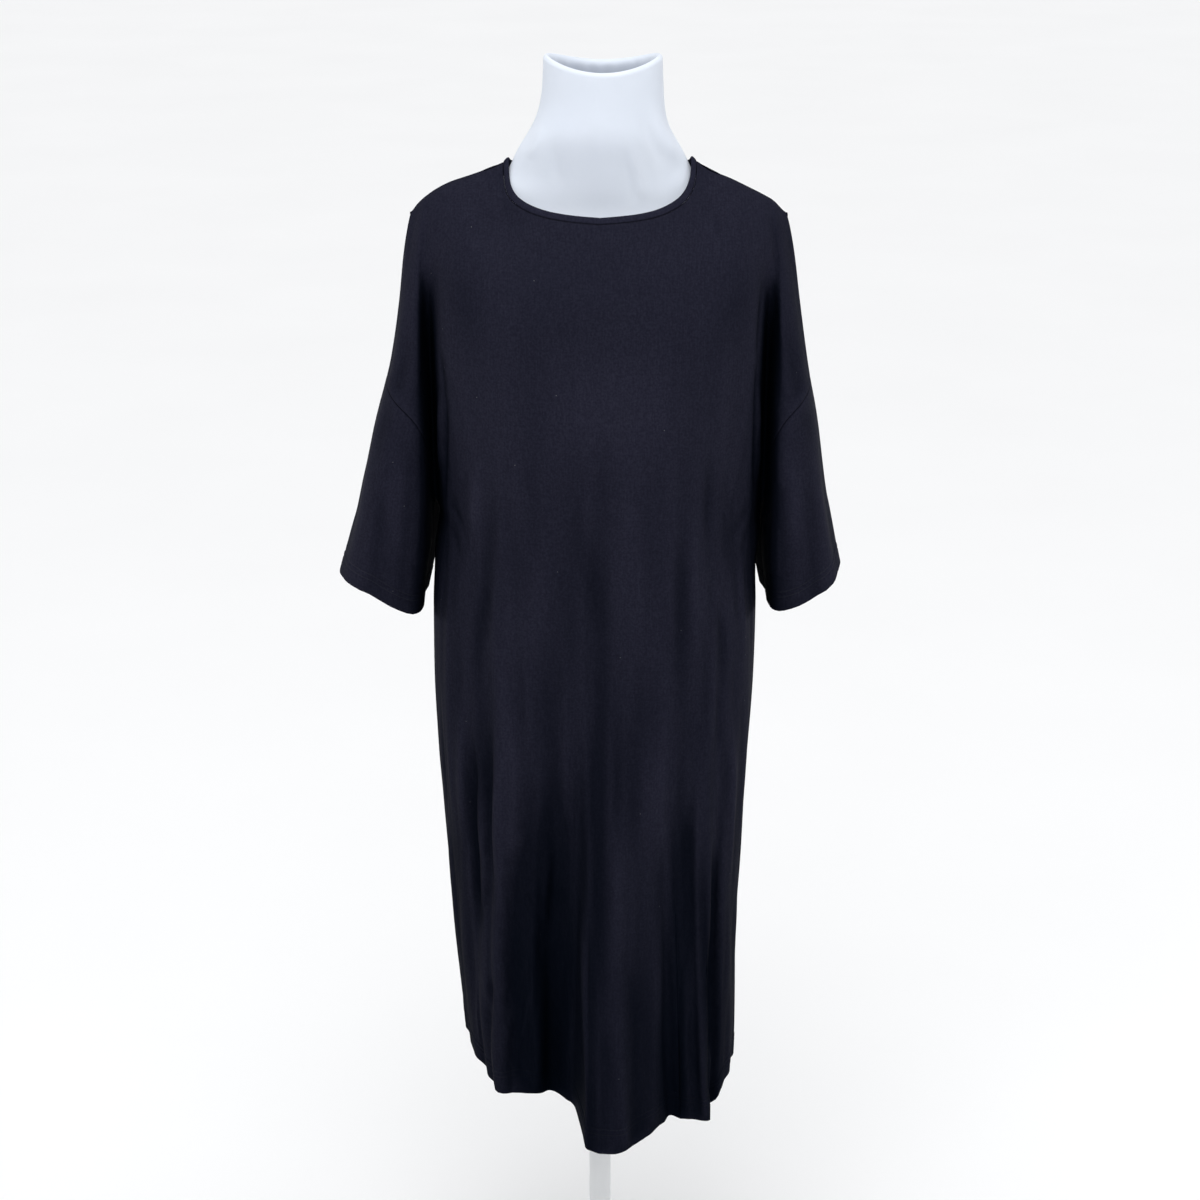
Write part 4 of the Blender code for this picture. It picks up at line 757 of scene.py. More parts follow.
def ripple(x, z, columns):
    """Smooth stretched unevenness, long down the cloth and short across it."""
    out = np.zeros_like(z)
    for row in columns:
        r = dict(zip(RIPPLE_COLUMNS, row))
        a, b = x / r["across"] + 0.12 * np.sin(z / 90.0 + r["seed"]), z / r["along"] + 100
        i, j = np.floor(a), np.floor(b)
        u, v = smooth(a - i), smooth(b - j)
        top = lattice(i, j, r["seed"]) * (1 - u) + lattice(i + 1, j, r["seed"]) * u
        low = lattice(i, j + 1, r["seed"]) * (1 - u) + lattice(i + 1, j + 1, r["seed"]) * u
        out += r["height"] * (top * (1 - v) + low * v)
    return out


def arm_lookup():
    """Distance round each sleeve from its over-arm line, by height and place."""
    zs, t, out = np.linspace(-500, -56, 25), np.linspace(3, 9, 121), {}
    for side in (-1, 1):
        rows = []
        for z in zs:
            p = arm(knots(np.full_like(t, z)), side, t)
            run = np.concatenate([[0], np.cumsum(length(np.diff(p, axis=0))[:, 0])])
            rows.append(run - run[60])
        out[side] = np.array(rows)
    return zs, t, out


ARM_Z, ARM_T, ARM_RUN = arm_lookup()


def arm_place(side, t, z):
    g = ARM_RUN[side]
    fz = np.clip((z - ARM_Z[0]) / (ARM_Z[1] - ARM_Z[0]), 0, len(ARM_Z) - 1.001)
    ft = np.clip((t - ARM_T[0]) / (ARM_T[1] - ARM_T[0]), 0, len(ARM_T) - 1.001)
    a, b = fz.astype(int), ft.astype(int)
    u, v = fz - a, ft - b
    return (g[a, b] * (1 - v) + g[a, b + 1] * v) * (1 - u) + (g[a + 1, b] * (1 - v) + g[a + 1, b + 1] * v) * u


# ---------------------------------------------------------------- grids of the drawn pieces
def spread(stops):
    """Numbers from one stop to the next: each stop is (value, how many steps lead to it)."""
    out = [stops[0][0]]
    for value, steps in stops[1:]:
        out += list(np.linspace(out[-1], value, steps + 1)[1:])
    return out


HALF_COLUMNS_LEFT = spread(((0.0, 0), (0.30, 12), (0.48, 12), (0.9, 10), (0.97, 3), (1.0, 3), (1.06, 2), (2.0, 24), (2.9, 28), (2.97, 3), (3.0, 3)))
HALF_COLUMNS_RIGHT = spread(((0.0, 0), (0.50, 14), (0.9, 18), (0.97, 3), (1.0, 3), (1.06, 2), (1.8, 26), (2.9, 28), (2.97, 3), (3.0, 3)))
TOP_ROWS = spread(((0.0, 0), (0.003, 1), (0.009, 2), (0.03, 3), (0.2, 12), (OVERARM_DROP, 22)))
SEAM_STEPS = spread(((1.0, 0), (0.9, 6), (0.6, 8), (0.0, 14)))[1:]
LOW_ROWS = spread(((0.0, 0), (0.955, 100)))[1:]
HEM_ROWS = (31.5, 29.5, 28.2, 27.4, 27.0, 26.6, 25.6, 24.0, 22.4, 21.4, 21.0, 20.6, 19.6, 17.0, 13.0, 9.0, 5.0, 2.4, 1.0, 0.0)
CUFF_ROWS = (26.5, 24.5, 23.2, 22.4, 22.0, 21.6, 20.6, 19.0, 17.4, 16.4, 16.0, 15.6, 14.6, 12.0, 8.0, 5.0, 2.4, 1.0, 0.0)
WING_STEPS = spread(((0.0, 0), (0.92, 22), (0.98, 3), (1.0, 2)))
SLEEVE_ROWS = spread(((0.0, 0), (0.006, 1), (0.02, 2), (1.0, 46)))


def groove(distance, line, depth, half):
    return -depth * np.exp(-(((distance - line) / half) ** 2))


def shell_mesh(name, points, faces, facts, materials, thickness=SHELL):
    """A thin closed shell from a sheet: the sheet, the same moved in, and a rim. facts are per-point numbers."""
    points, faces = np.asarray(points, float), np.asarray(faces, int)
    normal = point_normals(points, faces)
    inner = points - normal * thickness
    n = len(points)
    edges = np.concatenate([faces[:, [0, 1]], faces[:, [1, 2]], faces[:, [2, 3]], faces[:, [3, 0]]])
    edges = edges[edges[:, 0] != edges[:, 1]]
    forward = set(map(tuple, edges.tolist()))
    rim = [(b, a, a + n, b + n) for a, b in forward if (b, a) not in forward]
    rim.sort()
    every = [tuple(dict.fromkeys(f)) for f in faces.tolist()]
    every += [tuple(i + n for i in reversed(f)) for f in every]
    mesh = bpy.data.meshes.new(name)
    mesh.from_pydata(world(np.vstack([points, inner])).tolist(), [], every + rim)
    mesh.update()
    for key in ("u", "v"):
        facts[key] = np.asarray(facts[key], float)
    uv = mesh.uv_layers.new(name="cloth")
    loop = np.zeros(len(mesh.loops), int)
    mesh.loops.foreach_get("vertex_index", loop)
    both = np.stack([np.tile(facts["u"], 2), np.tile(facts["v"], 2)], -1) * MM
    uv.data.foreach_set("uv", both[loop].astype(np.float32).ravel())
    for key in ("hem", "seam", "relief"):
        layer = mesh.attributes.new(key, "FLOAT", "POINT")
        layer.data.foreach_set("value", np.tile(np.asarray(facts[key], float), 2).astype(np.float32))
    obj = bpy.data.objects.new(name, mesh)
    bpy.context.scene.collection.objects.link(obj)
    for m in materials:
        mesh.materials.append(m)
    mesh.shade_smooth()
    mesh.set_sharp_from_angle(angle=math.radians(62))
    return obj


def point_normals(points, faces):
    """Area-weighted directions at the points of a quad sheet (a triangle repeats a corner)."""
    a, b, c, d = (points[faces[:, i]] for i in range(4))
    n = np.cross(c - a, d - b)
    out = np.zeros_like(points)
    for i in range(4):
        np.add.at(out, faces[:, i], n)
    return out / np.maximum(np.linalg.norm(out, axis=1, keepdims=True), 1e-12)


FAN = (-78, -62, -46, -30, -14, 14, 30, 46, 62, 78)  # directions to each side of the surface's own, in degrees
FAN_REACH = 0.16  # metres


def openness(mesh, count, obstacles):
    """For the first points of a mesh, how much of the level fan in front of each is free of cloth, 0 to 1."""
    points = np.zeros(len(mesh.vertices) * 3, np.float32)
    mesh.vertices.foreach_get("co", points)
    points = points.reshape(-1, 3)[:count]
    normals = np.zeros(len(mesh.vertices) * 3, np.float32)
    mesh.vertices.foreach_get("normal", normals)
    normals = normals.reshape(-1, 3)[:count]
    level = normals * np.array([1, 1, 0.25])
    level /= np.maximum(np.linalg.norm(level, axis=1, keepdims=True), 1e-6)
    free, total = np.zeros(count), 0.0
    for angle in FAN:
        c, s = math.cos(math.radians(angle)), math.sin(math.radians(angle))
        way = np.stack([level[:, 0] * c - level[:, 1] * s, level[:, 0] * s + level[:, 1] * c, level[:, 2]], -1)
        start = points + normals * 0.0012 + way * 0.001
        total += c
        for i in range(count):
            if obstacles.ray_cast(Vector(start[i]), Vector(way[i]), FAN_REACH)[0] is None:
                free[i] += c
    return free / total


def world(points):
    p = np.array(points, float) * MM
    p[..., 2] += SHOULDER_HEIGHT * MM
    return p


def fine_panel(part):
    front = part == "front"
    rows = top_rows()
    m = len(rows) - 1
    keys, place = {}, []

    def add(key, side, t, z, wing, seam, hem, quiet=False):
        if key not in keys:
            keys[key] = len(place)
            place.append((side, t if front else 12 - t, z, wing, seam, hem, quiet))
        return keys[key]

    columns = [(-1, t) for t in reversed(HALF_COLUMNS_LEFT)] + [(1, t) for t in HALF_COLUMNS_RIGHT[1:]]
    grid, neck, ridge_points, faces = [], [], [], []
    for c, (side, t) in enumerate(columns):
        tau = t if front else 12 - t
        zt, zh = top_z(side, tau)[0], hem_z(side, tau)[0]
        if t == 1.0:
            zt = ridge(np.array([NECK_HALF]), side)[0]
        to_side = abs(arc(part, side, np.array([3.0]), np.array([-700.0]))[0] - arc(part, side, np.array([t]), np.array([-700.0]))[0])
        column = []
        for i, r in enumerate(rows):
            column.append(add(("b", c, i), side, t, zt + (UNDERARM - zt) * r, False, (zt - UNDERARM) * r, 999.0, t >= 1.0))
        steps = [UNDERARM + (zh + HEM_ROWS[0] - UNDERARM) * r / LOW_ROWS[-1] * 0.985 for r in LOW_ROWS] + [zh + h for h in HEM_ROWS]
        for i, z in enumerate(steps):
            column.append(add(("b", c, m + 1 + i), side, t, z, False, to_side, z - zh))
        grid.append(column)
        if t >= 1.0:
            ridge_points.append(column[0])
        if t <= 1.0:
            neck.append(column[0])
    for a, b in zip(grid[:-1], grid[1:]):
        faces += [(a[i], a[i + 1], b[i + 1], b[i]) for i in range(len(a) - 1)]
    for side, edge in ((-1, grid[0]), (1, grid[-1])):
        wing = [[edge[i]] for i in range(m + 1)]
        for i, r in enumerate(rows[:-1]):
            reach = float(wing_reach(r))
            for w, share in enumerate(WING_STEPS[1:], 1):
                t = 3.0 + reach * share
                zt = top_z(side, t if front else 12 - t)[0]
                z = zt + (UNDERARM - zt) * r
                seam = (zt - UNDERARM) * r
                if t > 5.6 and r <= OVERARM_DROP:
                    seam = min(seam, (6.0 - t) * 45)
                if r > OVERARM_DROP:
                    seam = min(seam, (1 - share) * reach * 40)
                v = add(("w", side, i, w), side, t, z, True, seam, 999.0, r <= OVERARM_DROP)
                wing[i].append(v)
                if i == 0 or (share == 1.0 and r <= OVERARM_DROP):
                    ridge_points.append(v)
        last = len(WING_STEPS)
        for i in range(m - 1):
            for w in range(last - 1):
                f = (wing[i][w], wing[i + 1][w], wing[i + 1][w + 1], wing[i][w + 1])
                faces.append(f if side > 0 else f[::-1])
        for w in range(last - 1):
            f = (wing[m - 1][w], wing[m][0], wing[m][0], wing[m - 1][w + 1])
            faces.append(f if side > 0 else f[::-1])
    if not front:
        faces = [f[::-1] for f in faces]
    side = np.array([p[0] for p in place])
    tau = np.array([p[1] for p in place])
    z = np.array([p[2] for p in place])
    wing = np.array([p[3] for p in place])
    seam = np.array([p[4] for p in place])
    hem = np.array([p[5] for p in place])
    t = np.where(tau < 6, tau, 12 - tau)
    points = np.zeros((len(place), 3))
    x = np.zeros(len(place))
    for s in (-1, 1):
        k = side == s
        points[k] = dress_point(s, tau[k], z[k], wing[k])
        flat = k & ~wing
        x[flat] = arc(part, s, t[flat], z[flat])
        over = k & wing
        x[over] = arm_place(s, tau[over], z[over])
    # the body's side swells a little where the sleeve's inner edge lies against it
    points[:, 0] += side * 1.6 * np.where(~wing & (t > 2.2), smooth((t - 2.2) / 0.6) * np.exp(-(((z + 412) / 26) ** 2)), 0.0)
    for v in neck:
        a = neck_angle(np.array([t[v]]))
        points[v] = neck_point(a if front else 180 - a, side[v])[0]
        if t[v] == 1.0:
            points[v, 2] = ridge(np.array([NECK_HALF]), side[v])[0]
    sign = -1 if front else 1
    for v in ridge_points:
        points[v, 1] = 0.0
    faces = np.array(faces)
    # creases, ripples and the hem, along the surface's own direction
    normal = point_normals(points, faces)
    rise = np.zeros(len(points))
    on_body = ~wing
    calm = smooth((-z - 60) / 220) * 0.8 + 0.2
    valley = np.where(z > UNDERARM - 30, smooth((np.abs(t - 3.0) - 0.05) / 0.4), 1.0)
    rise[on_body] = crease_height(part, x[on_body], z[on_body])
    rise[on_body] += ripple(x[on_body], z[on_body], RIPPLES) * (calm * (0.40 + 1.35 * smooth((-z - 240) / 500)))[on_body]
    for s, name in ((-1, "arm_left"), (1, "arm_right")):
        k = wing & (side == s)
        rise[k] = crease_height(name, x[k], z[k]) + 0.6 * ripple(x[k] + 400 * s, z[k], RIPPLES)
    edge = smooth(np.maximum(seam, 0.0) / 30.0)
    at_side = np.where((z < UNDERARM) & on_body, smooth((3.0 - t) / 0.15), 1.0)
    near_neck = np.where(t < 1.0, smooth((top_z_fast(side, tau, t) - z) / 30.0), 1.0)
    rise *= edge * valley * at_side * near_neck
    relief = rise.copy()
    rise += np.where(hem < 60, 0.45 * smooth((HEM_DEPTH - hem + 0.6) / 1.2) * smooth((60 - hem) / 5), 0.0)
    rise += groove(hem, HEM_DEPTH, 0.5, 0.7) + groove(hem, HEM_DEPTH - STITCH_ROWS, 0.5, 0.7)
    quiet = np.array([p[6] for p in place])  # the shoulder and over-arm seams, which hardly show
    depth = np.where(quiet, 0.10, 0.75) * np.where(hem < 2, 0.3, 1.0)
    rise -= depth * np.exp(-((seam / 1.6) ** 2))
    joined = ~wing & (t >= 2.9995) & (z < UNDERARM - 25)  # along the side seams, drawn closed
    seam_y = points[:, 1] - sign * SIDE_GAP
    points = points + normal * rise[:, None]
    points[joined, 1] = seam_y[joined] + sign * 0.05
    for v in ridge_points:
        points[v, 1] = sign * 0.12
    seam = np.where(quiet, np.maximum(seam, 1.3), seam)
    along = -z
    u = x + np.where(wing, 1000.0 * side, 0.0) + (0 if front else 3000.0)
    return points, faces, {"u": u, "v": -along, "hem": hem, "seam": seam, "relief": relief}


def top_z_fast(side, tau, t):
    out = np.zeros(len(tau))
    for s in (-1, 1):
        k = side == s
        out[k] = top_edge(s, tau[k])[:, 2]
    return out


def fine_sleeve(side):
    rows = top_rows()
    m = len(rows) - 1
    first = len(TOP_ROWS) - 1
    ring = []
    for i in list(range(m, first - 1, -1)):
        t = 3.0 + float(wing_reach(rows[i]))
        zt = top_z(side, t)[0]
        ring.append((t, zt + (UNDERARM - zt) * rows[i]))
    for i in range(first + 1, m + 1):
        t = 9.0 - float(wing_reach(rows[i]))
        zt = top_z(side, t)[0]
        ring.append((t, zt + (UNDERARM - zt) * rows[i]))
    ring = np.array(ring)
    cuff = CUFF_TABLE(ring[:, 0])["left" if side < 0 else "right"]
    tau, z, seam, hem, n = [], [], [], [], len(ring)
    for w in SLEEVE_ROWS:
        zz = ring[:, 1] + (cuff + CUFF_ROWS[0] + 2 - ring[:, 1]) * w
        tau.append(ring[:, 0]), z.append(zz), seam.append(ring[:, 1] - zz), hem.append(zz - cuff)
    for h in CUFF_ROWS:
        zz = cuff + h
        tau.append(ring[:, 0]), z.append(zz), seam.append(ring[:, 1] - zz), hem.append(zz - cuff)
    tau, z, seam, hem = (np.concatenate(q) for q in (tau, z, seam, hem))
    points = dress_point(side, tau, z, np.ones(len(tau), bool))
    count = len(SLEEVE_ROWS) + len(CUFF_ROWS)
    r, c = np.meshgrid(np.arange(count - 1), np.arange(n), indexing="ij")
    a, b = (r * n + c).ravel(), (r * n + (c + 1) % n).ravel()
    faces = np.stack([a, a + n, b + n, b], -1)
    if side < 0:
        faces = faces[:, ::-1]
    inner_edge = 1 - smooth(np.minimum(tau - 3, 9 - tau) / 1.2)
    points[:, 0] -= side * 1.3 * inner_edge * np.exp(-(((z + 418) / 22) ** 2))
    x = arm_place(side, tau, z)
    normal = point_normals(points, faces)
    name = "arm_left" if side < 0 else "arm_right"
    rise = crease_height(name, x, z) + 0.6 * ripple(x + 400 * side, z, RIPPLES)
    under = np.minimum(tau - 3, 9 - tau)
    rise *= smooth(seam / 30.0) * smooth((under - 0.02) / 0.5)
    relief = rise.copy()
    rise += 0.45 * smooth((CUFF_DEPTH - hem + 0.6) / 1.2)
    rise += groove(hem, CUFF_DEPTH, 0.5, 0.7) + groove(hem, CUFF_DEPTH - STITCH_ROWS, 0.5, 0.7)
    rise -= 0.45 * np.exp(-((seam / 1.6) ** 2)) + 0.7 * np.exp(-((under / 0.03) ** 2))
    points = points + normal * rise[:, None]
    shrink = np.exp(-((seam / 1.0) ** 2))[:, None] * np.array([0, 0, -0.25])
    return points + shrink, faces, {"u": x + 5000 * side, "v": z, "hem": hem + (HEM_DEPTH - CUFF_DEPTH), "seam": np.maximum(seam, 1.0), "relief": relief}


def fine_binding():
    """The neck band: its rounded section at close stations round the neck edge."""
    profile = (
        (0.0, -0.15), (0.06, 0.03), (0.2, 0.14), (0.42, 0.2), (0.62, 0.16), (0.8, 0.05), (0.92, -0.12), (0.985, -0.34),
        (1.0, -0.55), (0.96, -0.78), (0.85, -0.93), (0.62, -1.0), (0.35, -1.0), (0.1, -0.97), (0.0, -0.6),
    )  # up, out
    steps = 150
    a = np.linspace(0, 180, steps + 1)
    ring = [(1, x) for x in a] + [(-1, x) for x in a[-2:0:-1]]
    low = np.array([neck_point(np.array([x]), s, 0.0)[0] for s, x in ring])
    high = np.array([neck_point(np.array([x]), s, 1.0)[0] for s, x in ring])
    count, n = len(ring), len(profile)
    along = np.roll(low, -1, axis=0) - np.roll(low, 1, axis=0)
    up = high - low
    out = np.cross(up, along)
    out /= length(out)
    out *= np.sign((out[:, :2] * low[:, :2]).sum(-1))[:, None]
    run = np.concatenate([[0], np.cumsum(length(np.diff(low, axis=0))[:, 0])])
    puff = 1 + 0.10 * np.sin(run / 5.3) * np.sin(run / 23.0) + 0.06 * np.sin(run / 2.9 + 1)
    start = low + up / length(up) * 0.15
    points = np.stack([start + up * u * 0.95 + out * (o * BAND_THICK * puff)[:, None] for u, o in np.array(profile)[:, :, None]], 1).reshape(-1, 3)
    faces = []
    for i in range(count):
        for k in range(n):
            p, q = i * n + k, i * n + (k + 1) % n
            r, s = ((i + 1) % count) * n + (k + 1) % n, ((i + 1) % count) * n + k
            faces.append((s, r, q, p))
    mesh = bpy.data.meshes.new("neck_band")
    mesh.from_pydata(world(points).tolist(), [], faces)
    mesh.update()
    uv = mesh.uv_layers.new(name="cloth")
    loop = np.zeros(len(mesh.loops), int)
    mesh.loops.foreach_get("vertex_index", loop)
    across = np.tile(np.array([p[0] for p in profile]) * 9.0 + np.array([p[1] for p in profile]) * -2.0, count)
    both = np.stack([np.repeat(run, n)[: count * n], across], -1) * MM
    uv.data.foreach_set("uv", both[loop].astype(np.float32).ravel())
    for key, value in (("hem", 999.0), ("seam", 99.0)):
        layer = mesh.attributes.new(key, "FLOAT", "POINT")
        numbers = np.full(count * n, value, np.float32)
        if key == "seam":
            numbers[:] = np.tile(np.array([p[0] for p in profile]) * 8.0 + 0.6, count)
        layer.data.foreach_set("value", numbers)
    obj = bpy.data.objects.new("neck_band", mesh)
    scene.collection.objects.link(obj)
    mesh.shade_smooth()
    return obj


# The cover's drag folds, on the neck in front, with x across and z up.
COVER_CREASES = (
    ("neck", 48, 66, 84, -8, -5, 5, 7, 1.7, 0.5, 0.3),
    ("neck", 40, 58, 70, -12, -4, 6, 5, -1.0, 0.5, 0.3),
    ("neck", 26, 26, 44, -46, 3, 4, 6, 1.2, 0.5, 0.3),
    ("neck", 18, 20, 34, -48, 3, 5, 4, -0.7, 0.5, 0.3),
    ("neck", -46, 30, -38, -34, -3, 5, 6, -0.9, 0.5, 0.4),
    ("neck", -58, 44, -74, -2, 4, 5, 5, 0.9, 0.5, 0.3),
    ("neck", -8, 76, -6, 10, 3, 9, 9, 0.5, 0.5, 0.5),
)


def cover_rise(points):
    x, y, z = points.T
    out = np.zeros(len(points))
    for row in COVER_CREASES:
        c = dict(zip(CREASE_COLUMNS, row))
        dx, dz = c["x_bottom"] - c["x_top"], c["z_bottom"] - c["z_top"]
        span = math.hypot(dx, dz)
        for sign in (-1, 1):  # the back of the neck has the same kind, turned round
            xx = x if sign < 0 else -x
            u = ((xx - c["x_top"]) * dx + (z - c["z_top"]) * dz) / span**2
            s = ((xx - c["x_top"]) * -dz + (z - c["z_top"]) * dx) / span - c["bow"] * 4 * u * (1 - u)
            w = np.where(s < 0, c["width_left"], c["width_right"])
            ends = smooth(u / c["fade_top"]) * smooth((1 - u) / c["fade_bottom"])
            out += 1.8 * c["height"] * np.exp(-((s / w) ** 2)) * ends * smooth(sign * y / 22.0) * (1.0 if sign < 0 else 0.8)
    return out


def fine_form():
    """The covered form: its sections lofted closely, the neck's rounded rim and the tucked hollow inside it."""
    table = Table(TORSO_COLUMNS, TORSO)
    steps = 144
    a = np.arange(steps) * 2 * math.pi / steps
    c, s = np.cos(a), np.sin(a)
    zs = np.array(spread(((-655.0, 0), (-640, 5), (-110, 44), (-60, 14), (30, 34), (87, 24))))
    rings = []

    def ring(z, row, shrink=0.0):
        power = 2.0 / row["square"]
        reach = np.where(c > 0, row["front"], row["back"]) - shrink
        x = row["c_x"] + (row["half"] - shrink) * np.sign(s) * np.abs(s) ** power
        y = -reach * np.sign(c) * np.abs(c) ** power
        return np.stack([x, y, np.full(steps, float(z))], -1)

    def blend(z):
        """The table's row at a height, averaged with its neighbours for an even surface."""
        picks = [(w, table(min(max(z + dz, -655.0), 87.0))) for dz, w in ((-14, 1), (-7, 2), (0, 3), (7, 2), (14, 1))]
        return {key: sum(w * row[key] for w, row in picks) / 9 for key in TORSO_COLUMNS if key != "z"}

    for z in zs:
        row = blend(z)
        r = ring(z, row)
        r[:, 2] += NECK_EARS * smooth(np.array([(z - 30) / 57]))[0] * s**2
        rings.append(r)
    rim = Table(
        ("k", "shrink", "drop", "ears"),
        ((0, 0, 0, 1.0), (1, 1.6, -2.2, 1.0), (2, 3.6, -2.9, 1.0), (3, 6.0, -1.4, 0.95), (4, 8.6, 3.2, 0.75), (5, 10.8, 19.0, 0.3), (6, 16, 22.4, 0.08), (7, 30, 22.8, 0.0), (8, 46, 22.9, 0.0)),
    )
    top = blend(87.0)
    hollow = [0.0] * len(zs)
    for k in np.linspace(0, 8, 41)[1:]:
        q = rim(k)
        r = ring(87.0 - q["drop"], top, q["shrink"])
        r[:, 2] += NECK_EARS * q["ears"] * s**2
        # the cover gathers as it turns into the hollow
        pleat = np.sin(a * 17 + 1.7 * np.sin(a * 2 + 0.6)) * 0.7 + np.sin(a * 29 + 2 * np.sin(a * 3)) * 0.35
        r[:, 2] += pleat * math.exp(-(((k - 5.2) / 1.5) ** 2)) * 1.1
        rings.append(r)
        hollow.append(float(smooth(np.array((k - 3.2) / 1.6))))
    points = np.vstack(rings)
    faces = []
    r, col = np.meshgrid(np.arange(len(rings) - 1), np.arange(steps), indexing="ij")
    p, q = (r * steps + col).ravel(), (r * steps + (col + 1) % steps).ravel()
    faces = np.stack([p, q, q + steps, p + steps], -1)
    normal = point_normals(points, faces)
    points = points + normal * cover_rise(points)[:, None]
    last = (len(rings) - 1) * steps
    every = faces.tolist() + [tuple(range(steps))[::-1], tuple(last + i for i in range(steps))]
    mesh = bpy.data.meshes.new("covered_form")
    mesh.from_pydata(world(points).tolist(), [], every)
    mesh.update()
    mesh.shade_smooth()
    mesh.set_sharp_from_angle(angle=math.radians(60))
    # painted shade: how far into the neck's hollow each ring lies, for darkening the cover's colour there
    layer = mesh.attributes.new("hollow", "FLOAT", "POINT")
    layer.data.foreach_set("value", np.repeat(np.array(hollow, np.float32), steps))
    obj = bpy.data.objects.new("covered_form", mesh)
    scene.collection.objects.link(obj)
    return obj


# ---------------------------------------------------------------- materials
class Nodes:
    """Short names for building a node tree."""

    def __init__(self, name):
        self.material = bpy.data.materials.new(name)
        self.material.use_nodes = True
        self.tree = self.material.node_tree
        self.shader = self.tree.nodes["Principled BSDF"]

    def new(self, kind, **values):
        node = self.tree.nodes.new(kind)
        for key, value in values.items():
            if hasattr(node, key):
                setattr(node, key, value)
            else:
                node.inputs[key.replace("_", " ")].default_value = value
        return node

    def link(self, a, b):
        self.tree.links.new(a, b)

    def math(self, operation, a, b=None, clamp=False):
        node = self.tree.nodes.new("ShaderNodeMath")
        node.operation, node.use_clamp = operation, clamp
        for i, v in enumerate((a, b)):
            if v is None:
                continue
            if isinstance(v, (int, float)):
                node.inputs[i].default_value = v
            else:
                self.link(v, node.inputs[i])
        return node.outputs[0]

    def mix(self, share, a, b):
        node = self.tree.nodes.new("ShaderNodeMix")
        node.data_type = "RGBA"
        for socket, v in ((node.inputs["Factor"], share), (node.inputs[6], a), (node.inputs[7], b)):
            if isinstance(v, (int, float, tuple)):
                socket.default_value = v
            else:
                self.link(v, socket)
        return node.outputs[2]

    def noise(self, vector, scale, detail=3.0, roughness=0.5):
        node = self.tree.nodes.new("ShaderNodeTexNoise")
        node.inputs["Scale"].default_value = scale
        node.inputs["Detail"].default_value = detail
        node.inputs["Roughness"].default_value = roughness
        self.link(vector, node.inputs["Vector"])
        return node.outputs["Fac"]

    def ramp(self, value, stops):
        node = self.tree.nodes.new("ShaderNodeValToRGB")
        ramp = node.color_ramp
        while len(ramp.elements) < len(stops):
            ramp.elements.new(0.5)
        for element, (place, colour) in zip(ramp.elements, stops):
            element.position, element.color = place, (*colour, 1) if isinstance(colour, tuple) else (colour,) * 3 + (1,)
        self.link(value, node.inputs["Fac"])
        return node.outputs["Color"]

    def bump(self, height, strength, distance, normal=None):
        node = self.tree.nodes.new("ShaderNodeBump")
        node.inputs["Strength"].default_value = strength
        node.inputs["Distance"].default_value = distance
        self.link(height, node.inputs["Height"])
        if normal is not None:
            self.link(normal, node.inputs["Normal"])
        return node.outputs["Normal"]


def band(n, value, centre, half):
    """1 within half of centre, softly."""
    gap = n.math("ABSOLUTE", n.math("SUBTRACT", value, centre))
    return n.math("SUBTRACT", 1.0, n.math("DIVIDE", gap, half), clamp=True)


